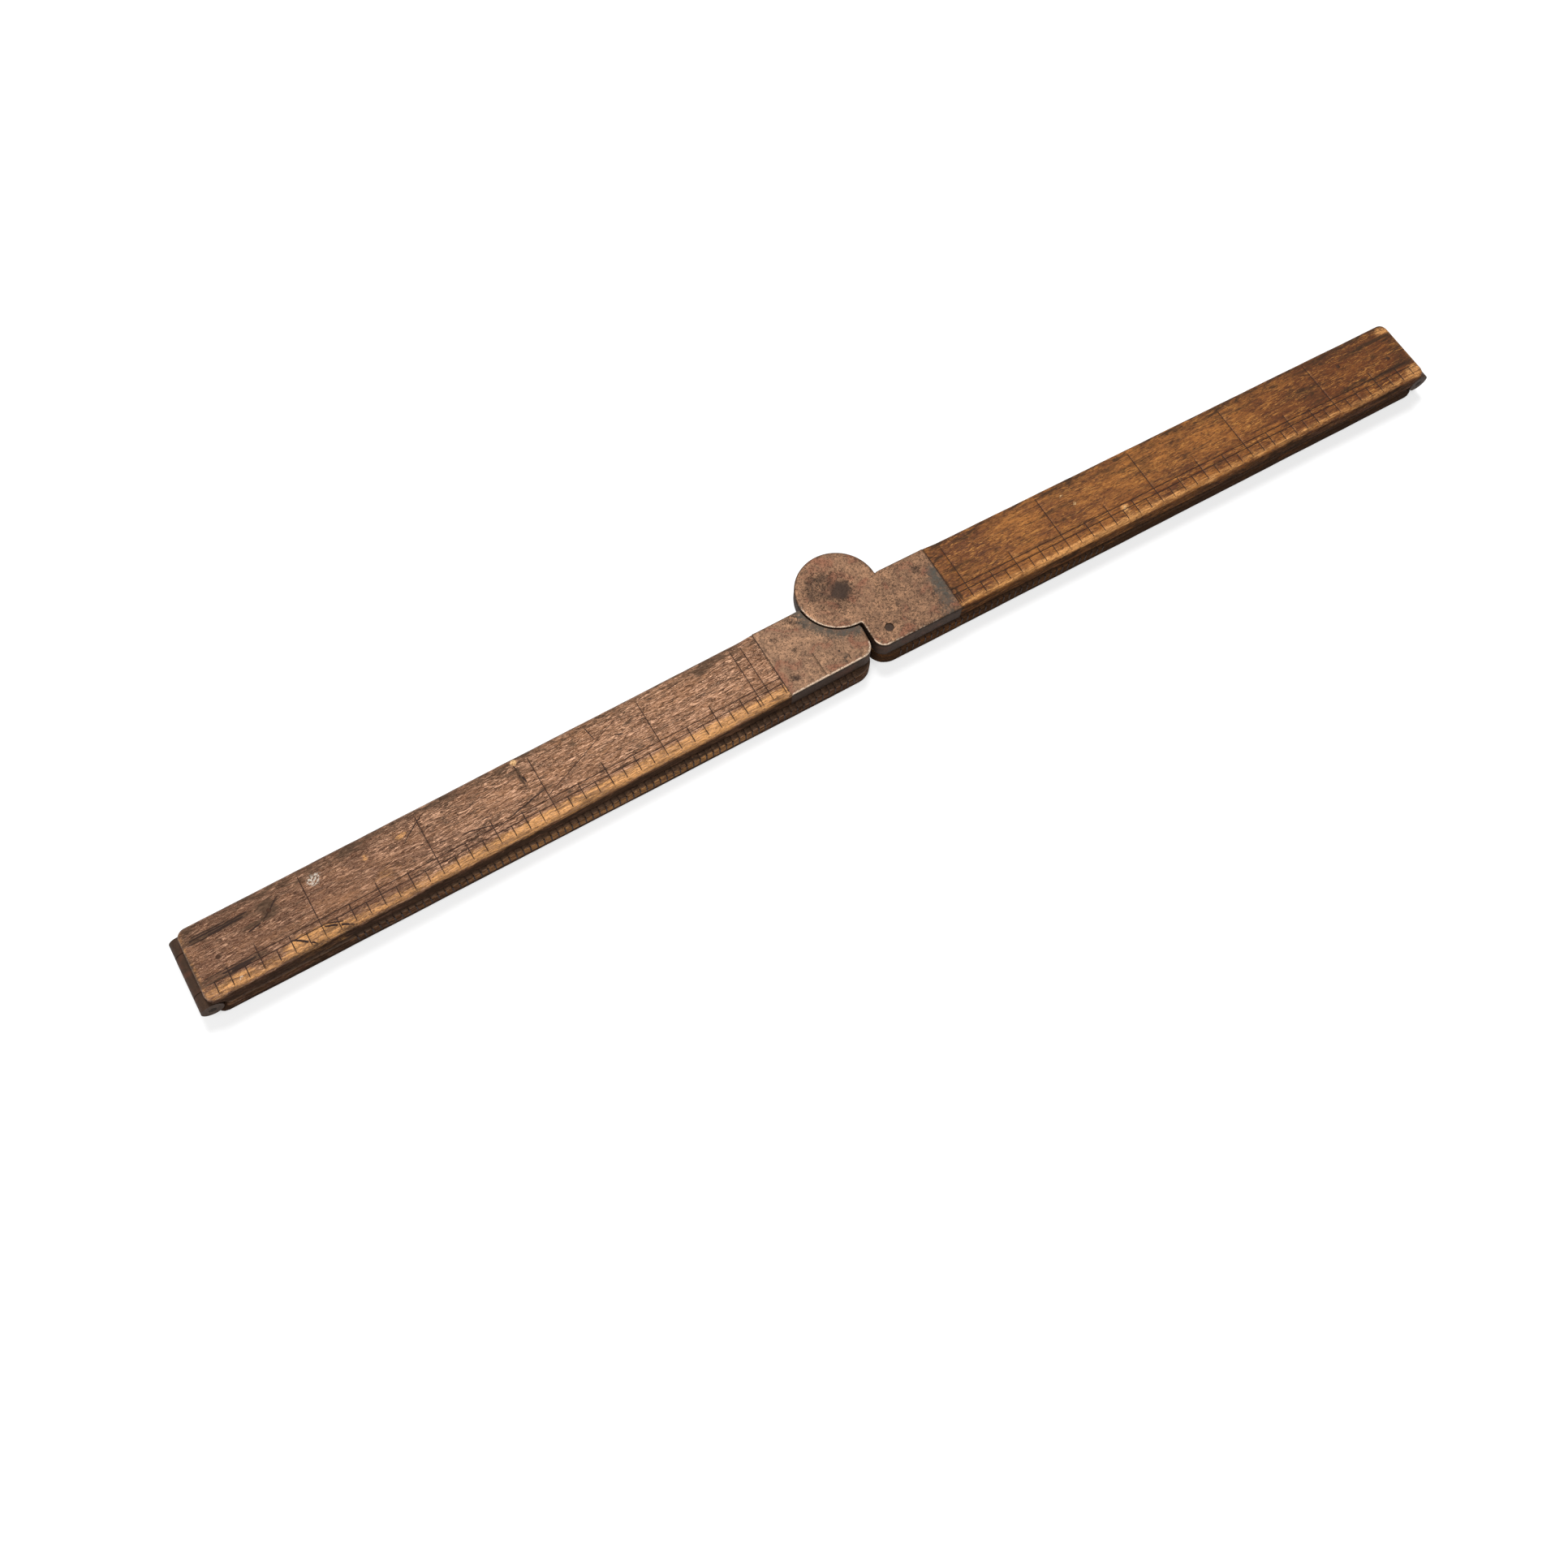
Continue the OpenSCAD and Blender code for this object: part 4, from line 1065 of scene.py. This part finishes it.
def drop_blank(obj):
    mesh = obj.data
    bpy.data.objects.remove(obj)
    bpy.data.meshes.remove(mesh)


# Settings

def colour(name, description, *default):
    return bpy.props.FloatVectorProperty(name=name, description=description, subtype="COLOR", default=default)


def number(name, description, default, **limits):
    return bpy.props.FloatProperty(name=name, description=description, default=default, **limits)


class RuleWood(bpy.types.PropertyGroup):
    left_red: colour("Left red", "Redder tone of the left limbs", 0.120, 0.048, 0.027)
    left_gold: colour("Left gold", "Paler tone of the left limbs", 0.330, 0.150, 0.070)
    left_glint: colour("Left glint", "Polished rays of the left limbs", 0.660, 0.370, 0.230)
    right_red: colour("Right red", "Redder tone of the right limbs", 0.125, 0.038, 0.014)
    right_gold: colour("Right gold", "Golden tone of the right limbs", 0.440, 0.165, 0.036)
    right_glint: colour("Right glint", "Polished rays of the right limbs", 0.560, 0.250, 0.062)
    dark: colour("Dark wood", "Rays and streaks in the grain", 0.045, 0.020, 0.013)
    bare: colour("Bare wood", "Wood laid bare along the worn edges", 0.800, 0.385, 0.130)
    # This colour also paints the shade on the sides and in the gap under the inner limbs
    dirt: colour("Dirt_And_Shade", "Old dirt on the sides and in dents", 0.038, 0.021, 0.013)
    ink: colour("Ink", "What is left of the ink in the scale marks", 0.028, 0.018, 0.017)
    left_pale: colour("Left specks", "Pale specks on the left limbs", 0.60, 0.54, 0.46)
    right_pale: colour("Right specks", "Pale specks on the right limbs", 0.66, 0.44, 0.22)
    sheen: number("Sheen", "Gloss of the handled upper faces", 0.8, min=0, max=1)
    relief: number("Grain relief", "Height of the raised grain", 0.00006, unit="LENGTH")
    mark_width: number("Mark width", "Width of the cut scale marks", 0.34 * MM, unit="LENGTH")


class RuleBrass(bpy.types.PropertyGroup):
    bronze: colour("Bronze", "Brass where it shows through", 0.212, 0.112, 0.060)
    brown: colour("Brown", "Brown bloom on the brass", 0.078, 0.043, 0.026)
    # Also the colour of the painted highlight along the front edges of the plates
    bright: colour("Bright", "Brass rubbed bright along the edges", 0.800, 0.600, 0.440)
    stain: colour("Stain", "Dark stain round the pivot and the rivets", 0.044, 0.027, 0.020)
    verdigris: colour("Verdigris", "Dark green bloom beside the wood", 0.078, 0.078, 0.066)


class RuleStage(bpy.types.PropertyGroup):
    floor: colour("Floor", "Colour of the floor", 0.50, 0.50, 0.50)
    glow: number("Floor brightness", "What the camera sees added to the floor's own light", 0.62, min=0)
    key: number("Key light", "Power of the soft light overhead, in watts", 5.2, min=0)
    gloss: number("Gloss light", "Power of the light that shows the left arm's sheen, in watts", 9.6, min=0)
    world: number("Room light", "Strength of the even light all round", 0.2, min=0)


# Operators

class RULE_OT_finishes(bpy.types.Operator):
    """Build the shader groups and the geometry trees that the pieces share"""
    bl_idname = "rule.finishes"
    bl_label = "Finishes"

    def execute(self, context):
        build_wood_figure()
        build_hand_wear()
        build_brass_patina()
        build_set_pieces()
        build_scored_line()
        wood = context.scene.rule_wood
        left = (wood.left_red, wood.left_gold, wood.left_glint, wood.left_pale)
        right = (wood.right_red, wood.right_gold, wood.right_glint, wood.right_pale)
        wood_material("left_wood", left, 0.25, 0.72, wood.sheen, painted_sheen=(-102, -24), raised=2.0,
                      specks=[(-79.1, 7.3, 0.45, 0.7, 2.0), (-144.4, -6.6, 0.1, 0.35, 1.5)])
        wood_material("right_wood", right, 0.44, 0.75, wood.sheen * 0.35)
        wood_material("left_flank", left, 0.6, 0.6, 0.05)
        wood_material("right_flank", right, 0.6, 0.6, 0.05)
        wood_material("mark_ink", (wood.ink,) * 4, 0.6, 0.1, 0.2, masked=False)
        stained = (wood.dark, wood.dark, wood.left_red, wood.dark)
        wood_material("pin_stain", stained, 0.5, 0.2, 0.3, masked=False)
        brass_material("cheek_brass", 0.44, CHEEK_STAINS, CHEEK_GREENS, tint=(0.98, 1.01, 1.03))
        brass_material("head_brass", 0.42, HEAD_STAINS, HEAD_GREENS)
        # The core and edge plates, seen on the joint's sides, are darkened: tarnish, with painted shade on
        # the sides
        brass_material("core_brass", 0.85, masked=False, dark=0.5)
        brass_material("hinge_brass", 0.8, masked=False, dark=0.42)
        brass_material("dark_pin", 0.9, masked=False, dark=0.8)
        return {"FINISHED"}


def left_tone(u):
    # The rise towards gold from u = 45 on is partly the wood's own paler tone and partly painted sheen
    tone = 0.16 + 0.1 * wander(u, 31, 25) - 0.08 * ramp(40, 0, u)
    return tone + 0.54 * ramp(45, 80, u) - 0.3 * ramp(118, 134, u)


def right_tone(u):
    tone = 0.02 + 0.46 * ramp(12, 84, u) + 0.12 * wander(u, 37, 18)
    return tone - 0.18 * ramp(104, 126, u) - 0.16 * ramp(30, 8, u)


def dress_limb(name, limb, dark_spots, flecks, bares, wear):
    """Makes a limb's wood in its place and hands it over."""
    right, outer, body, _ = LIMBS[name]
    quads = limb.quads[:, ::-1] if right else limb.quads
    wood, tone = ("right", right_tone) if right else ("left", left_tone)
    masks = limb.masks(dark_spots, flecks, bares, tone, wear)
    finishes = [wood + "_wood", wood + "_flank"]
    piece = masked_object(name + "_wood", place(limb.p, right, outer), quads, finishes, masks, 50,
                          limb.flanks())
    hand_over(piece, body, name.replace("_inner", "") + "_limb")


def scratch_run(limb, x0, y0, x1, y1, girth):
    """Points of one scratch on the left inner limb, with its girth at each."""
    n = max(3, int(math.dist((x0, y0), (x1, y1)) / 0.4))
    run, girths = [], []
    for t in np.linspace(0, 1, n + 1):
        x, y = x0 + (x1 - x0) * t, y0 + (y1 - y0) * t
        y += 0.14 * noise.noise(Vector((x * 0.5, y, 9.3)))
        here = 1.5 * girth * (0.35 + 0.65 * math.sin(math.pi * min(max(t, 0.06), 0.94)) ** 0.6)
        level = min(limb.height(x + LIMB_LEN, y), TOP - 0.02)
        run.append((x, y, level + 0.014 - 0.025 * here - 0.05 * abs(2 * t - 1) ** 6))
        girths.append(here)
    return run, girths


class RULE_OT_inner_limbs(bpy.types.Operator):
    """Make the two inner limbs, with their cut scale and their wear"""
    bl_idname = "rule.inner_limbs"
    bl_label = "Inner limbs"

    def execute(self, context):
        notch = context.scene.rule_wood.mark_width / MM
        left = Limb(1, False, LIMBS["left_inner"][3], notch,
                    [(25.5, 5.5, 0.75), (4, 4, 0.3), (70, 9, 0.2)], line_ink=0.62)
        left.gouge(DENT, 0.9, 7.2, 0.4, 0.25)
        left.gouge(LIMB_LEN - 124.3, 3.6, 6.0, 1.3, 0.12)
        dress_limb("left_inner", left, LEFT_STAINS, LEFT_FLECKS, LEFT_BARES,
                   lambda u: 0.64 + 0.9 * ramp(40, 75, u))
        scratches = [scratch_run(left, *scratch) for scratch in SCRATCHES]
        runs = [run for run, _ in scratches]
        girths = [girth for _, each in scratches for girth in each]
        lines_piece("left_scratches", runs, "left_arm", 0.14, 0.05, girths)
        right = Limb(2, False, LIMBS["right_inner"][3], notch, [(30, 6, 0.25), (80, 10, 0.2)],
                     band=(2.5, 0.9), side_dirt=0.75, lip=0.45)
        dress_limb("right_inner", right, RIGHT_STAINS, RIGHT_FLECKS, RIGHT_BARES,
                   lambda u: 0.62 + 0.45 * ramp(60, 90, u) - 0.35 * ramp(98, 112, u))
        return {"FINISHED"}


class RULE_OT_outer_limbs(bpy.types.Operator):
    """Make the outer limbs, folded under the inner ones"""
    bl_idname = "rule.outer_limbs"
    bl_label = "Outer limbs"

    def execute(self, context):
        notch = context.scene.rule_wood.mark_width / MM
        strip = (1.7, 4.2, lambda u: 0.25 + 0.42 * ramp(30, 80, u) - 0.42 * ramp(114, 130, u))
        left = Limb(5, True, LIMBS["left_outer"][3], notch, [(20, 12, 0.3), (90, 20, 0.2)], strip=strip)
        # The second spot is painted shadow along the front of the upper face, in the gap under the inner limb
        # near the joint
        dress_limb("left_outer", left, [(0.2, 0, 1, 9, 0.6), (147, -8, 24, 3.2, 0.4)], [], [],
                   lambda u: 0.1 + 0.12 * ramp(30, 80, u) - 0.12 * ramp(114, 130, u))
        lost = [(x, 4, 0.62) for x in range(6, 88, 4)]
        strip = (1.6, 4.0, lambda u: 0.16 * ramp(86, 94, u))
        right = Limb(6, True, LIMBS["right_outer"][3], notch, lost, side_dirt=1.1, strip=strip)
        # Painted shadow along the front of the upper face, which lies in the gap under the inner limb
        dark = [(x, -8.2, 5, 2.6, 0.9) for x in range(50, 86, 5)] + [(136, -8.2, 46, 3.4, 0.5)]
        dress_limb("right_outer", right, dark, [], [], lambda u: np.full(len(u), 0.06))
        return {"FINISHED"}


def mark_points(marks, right, outer, notch):
    """Places, turns and stretches of the ink blades that fill a limb's cut marks."""
    rng = random.Random(8)
    start = 0.95
    front, level = (-OUTER_W / 2, LIMB_T) if outer else (-LIMB_W / 2, TOP)
    places, stretches = [], []
    for at, reach, weight in marks:
        if weight >= 0.5:
            places.append((at, front + start, level - 0.062))
            stretches.append((notch * (0.38 + 0.16 * weight), reach - start + rng.uniform(-0.1, 0.1), 0.05))
    turn = (RIGHT_SKEW * outer - OVER_OPEN) if right else -LEFT_SKEW * outer
    return place(places, right, outer), np.full(len(places), turn), np.array(stretches)


class RULE_OT_scale_marks(bpy.types.Operator):
    """Fill the cut scale marks and the scored lines with old ink"""
    bl_idname = "rule.scale_marks"
    bl_label = "Scale marks"

    def execute(self, context):
        notch = context.scene.rule_wood.mark_width / MM
        lost_to = 92
        blade = blade_blank()
        for name, (right, outer, body, marks) in LIMBS.items():
            if name == "right_outer":
                marks = [m for m in marks if m[0] > lost_to]
            points = mark_points(marks, right, outer, notch)
            piece = pieces_at(name + "_marks", *points, blade, 0.0, 3, "mark_ink")
            hand_over(piece, body)
        drop_blank(blade)
        xs = np.arange(3.0, INNER_END - 0.2, 1.2)
        scored = [[(x, -LIMB_W / 2 + at, TOP - 0.085) for x in xs] for at in SCORED_LINES]
        scored.append([(INNER_END - 0.1, y, TOP - 0.05) for y in np.arange(-7.8, 8.3, 0.8)])
        for side, right, width in (("left", False, 0.13), ("right", True, 0.15)):
            lines_piece(side + "_scored_lines", [place(run, right, False) for run in scored], side + "_arm",
                        width, 0.05)
        sixteenths = [LIMB_LEN - n * EIGHTH / 2 for n in range(4, 93)]
        y = -OUTER_W / 2 + 0.12
        for side, right, first in (("left", False, 30), ("right", True, lost_to)):
            runs = [place([(x, y, 1.8), (x, y, 4.0)], right, True) for x in sixteenths if x > first]
            lines_piece(side + "_edge_marks", runs, side + "_outer", 0.28, 0.24)
        return {"FINISHED"}


class RULE_OT_joint_plates(bpy.types.Operator):
    """Make the four brass plates of the middle joint"""
    bl_idname = "rule.joint_plates"
    bl_label = "Joint plates"

    def execute(self, context):
        front = -LIMB_W / 2
        cuts = [(-12.7, front + 0.7, -12.7, front + 6.3, 0.8)]
        for n, reach in ((1, 3.0), (2, 4.2), (3, 3.1), (5, 3.2), (6, 4.4)):
            cuts.append((-n * EIGHTH, front + 0.8, -n * EIGHTH, front + reach, 0.35))
        left_holes = [(x, y, *RIVET_HOLE) for x, y in LEFT_RIVETS]
        right_holes = [(x, y, *RIVET_HOLE) for x, y in RIGHT_RIVETS] + [(0, PIVOT_Y, *PIVOT_HOLE)]
        pads = [(0.2, PIVOT_Y + 0.3, 4.2, 0.04)]
        faces = (("upper", "top", False), ("lower", "bottom", True))
        for word, end, lower in faces:
            piece = plate(f"left_{word}_cheek", cheek_outline(), left_holes, [] if lower else cuts, [],
                          4 + lower, "cheek_brass", lower)
            hand_over(piece, "left_arm", "left_cheek_" + end)
        for word, end, lower in faces:
            piece = plate(word + "_round_head", head_outline(), right_holes, [], pads,
                          7 + lower, "head_brass", lower, True)
            hand_over(piece, "right_arm", "head_plate_" + end)
        return {"FINISHED"}


class RULE_OT_rivets(bpy.types.Operator):
    """Set the rivets, the pivot and the pins of the hinge leaves"""
    bl_idname = "rule.rivets"
    bl_label = "Rivets and pins"

    def execute(self, context):
        half = LIMB_T / 2
        middle = INNER_Z + half
        flush = lathe_blank("flush_blank", [
            (1.0, -half + 0.03), (1.028, -half + 0.05), (0.75, -half + 0.33), (0.75, half - 0.33),
            (1.028, half - 0.035), (0.95, half - 0.03), (0.5, half - 0.028)])
        pivot = lathe_blank("pivot_blank", [
            (2.0, -half + 0.03), (2.12, -half + 0.08), (1.6, -half + 0.5), (1.6, half - 0.5),
            (2.125, half - 0.085), (2.0, half - 0.07), (1.2, half - 0.065)])
        pin = lathe_blank("pin_blank", [
            (0.5, -half + 0.03), (0.6, -half + 0.08), (0.6, half - 0.08), (0.5, half - 0.02),
            (0.25, half - 0.01)], 16)
        left = [(x, y, middle) for x, y in LEFT_RIVETS]
        right = turned([(x, y, middle) for x, y in RIGHT_RIVETS])
        at_pivot = [(0, PIVOT_Y, middle)]
        sets = [
            ("cheek_rivets", "left_plate_rivets", "left_arm", "brass_rivets", flush, left, "cheek_brass"),
            ("round_head_rivets", "right_plate_rivets", "right_arm", "brass_rivets", flush, right,
             "head_brass"),
            ("pivot_rivet", "joint_pivot", "right_arm", "brass_pivot", pivot, at_pivot, "head_brass"),
        ]
        for side in ("left", "right"):
            for leaf, body, z in (("strap", "_arm", middle), ("fork", "_outer", half)):
                places = place([(x, y, z) for x, y in LEAF_PINS], side == "right", False)
                stem = f"{side}_{leaf}_"
                sets.append((stem + "dowels", stem + "pins", side + body, "leaf_pins", pin, places,
                             "pin_stain"))
        for name, node, body, slot, blank, places, finish in sets:
            stretch = np.ones((len(places), 3))
            if name == "round_head_rivets":
                stretch[0, 2] = 0.86
            if name == "cheek_rivets":
                stretch[0, :2] = 0.95
            piece = pieces_at(name, places, np.zeros(len(places)), stretch, blank, 6.0, 5, finish)
            hand_over(piece, body, node)
        for blank in (flush, pivot, pin):
            drop_blank(blank)
        return {"FINISHED"}


class RULE_OT_plain_brass(bpy.types.Operator):
    """Give the joint's core, the edge plates and the fold hinges their brass"""
    bl_idname = "rule.plain_brass"
    bl_label = "Core and hinges"

    def execute(self, context):
        finish = {
            "core_brass": ("middle_leaf", "filler_leaf", "left_edge_plates", "right_edge_plates"),
            "hinge_brass": ("left_strap_leaf", "right_strap_leaf", "left_fork_leaf", "right_fork_leaf"),
            "dark_pin": ("left_hinge_pin", "right_hinge_pin"),
        }
        for material, nodes in finish.items():
            for node in nodes:
                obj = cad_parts[node]
                if not obj.material_slots:
                    raise RuntimeError(f"{node} has no material slot")
                for slot in obj.material_slots:
                    slot.material = bpy.data.materials[material]
        return {"FINISHED"}


def linked(context, name, data):
    obj = bpy.data.objects.new(name, data)
    context.scene.collection.objects.link(obj)
    return obj


def lamp(context, name, at, aim, size, power):
    data = bpy.data.lights.new(name, "AREA")
    data.size = size
    data.energy = power
    obj = linked(context, name, data)
    obj.location = at
    obj.rotation_mode = "QUATERNION"
    obj.rotation_quaternion = (Vector(aim) - Vector(at)).to_track_quat("-Z", "Y")


class RULE_OT_stage(bpy.types.Operator):
    """Lay the pale floor, hang the soft lights and set the camera"""
    bl_idname = "rule.stage"
    bl_label = "Stage"

    def execute(self, context):
        stage = context.scene.rule_stage
        bpy.ops.mesh.primitive_plane_add(size=30, location=(0, 0, -0.00005))
        floor = context.active_object
        floor.name = "floor"
        material = bpy.data.materials.new("floor_paper")
        w = cleared(material)
        path = w.node("ShaderNodeLightPath").outputs
        seen = w.most(path["Is Camera Ray"], w.most(path["Is Glossy Ray"], path["Is Transmission Ray"]))
        paper = w.node("ShaderNodeBsdfDiffuse", {"Color": stage.floor}).outputs[0]
        # Far from the lamps the floor is lifted to white, so that it meets the backdrop unseen
        away = w.vector("LENGTH", w.node("ShaderNodeTexCoord").outputs["Object"])["Value"]
        level = w.blend(w.band(away, 0.5, 1.6), stage.glow, 1.0)
        glow = w.node("ShaderNodeEmission", {"Color": (1, 1, 1), "Strength": w.times(seen, level)}).outputs[0]
        both = w.node("ShaderNodeAddShader", {0: paper, 1: glow}).outputs[0]
        w.node("ShaderNodeOutputMaterial", {"Surface": both})
        floor.data.materials.append(material)
        world = bpy.data.worlds.new("room")
        context.scene.world = world
        w = cleared(world)
        path = w.node("ShaderNodeLightPath").outputs
        strength = w.blend(path["Is Camera Ray"], stage.world, 1.0)
        back = w.node("ShaderNodeBackground", {"Color": (1, 1, 1), "Strength": strength}).outputs[0]
        w.node("ShaderNodeOutputWorld", {"Surface": back})
        lamp(context, "key_light", (-0.55, -0.28, 1.05), (0, 0, 0), 0.5, stage.key)
        lamp(context, "gloss_light", (0.15, 0.42, 1.0), (-0.04, 0, 0), 0.36, stage.gloss)
        data = bpy.data.cameras.new("camera")
        data.lens = CAMERA_LENS
        data.sensor_width = 36
        camera = linked(context, "camera", data)
        right = Vector(CAMERA_RIGHT).normalized()
        back_axis = right.cross(Vector(CAMERA_UP).normalized()).normalized()
        turn = Matrix((right, back_axis.cross(right), back_axis)).transposed()
        camera.matrix_world = Matrix.Translation(CAMERA_AT) @ turn.to_4x4()
        context.scene.camera = camera
        context.scene.view_settings.view_transform = "Standard"
        return {"FINISHED"}


OPERATORS = (
    RULE_OT_finishes, RULE_OT_inner_limbs, RULE_OT_outer_limbs, RULE_OT_scale_marks, RULE_OT_joint_plates,
    RULE_OT_rivets, RULE_OT_plain_brass, RULE_OT_stage,
)
SETTINGS = {"rule_wood": RuleWood, "rule_brass": RuleBrass, "rule_stage": RuleStage}


class RULE_PT_panel(bpy.types.Panel):
    """Lists the rule's settings and its pieces"""
    bl_label = "Folding rule"
    bl_idname = "RULE_PT_panel"
    bl_space_type = "VIEW_3D"
    bl_region_type = "UI"
    bl_category = "Rule"

    def draw(self, context):
        for name, group in SETTINGS.items():
            box = self.layout.box()
            for key in group.__annotations__:
                box.prop(getattr(context.scene, name), key)
        for operator in OPERATORS:
            self.layout.operator(operator.bl_idname)


CLASSES = (*SETTINGS.values(), *OPERATORS, RULE_PT_panel)


def register():
    for cls in CLASSES:
        bpy.utils.register_class(cls)
    for name, group in SETTINGS.items():
        setattr(bpy.types.Scene, name, bpy.props.PointerProperty(type=group))


def unregister():
    for name in SETTINGS:
        delattr(bpy.types.Scene, name)
    for cls in reversed(CLASSES):
        bpy.utils.unregister_class(cls)


def main():
    register()
    bpy.ops.rule.finishes()
    bpy.ops.rule.inner_limbs()
    bpy.ops.rule.outer_limbs()
    bpy.ops.rule.scale_marks()
    bpy.ops.rule.joint_plates()
    bpy.ops.rule.rivets()
    bpy.ops.rule.plain_brass()
    bpy.ops.rule.stage()
    bpy.context.view_layer.update()


if __name__ == "__main__":
    main()
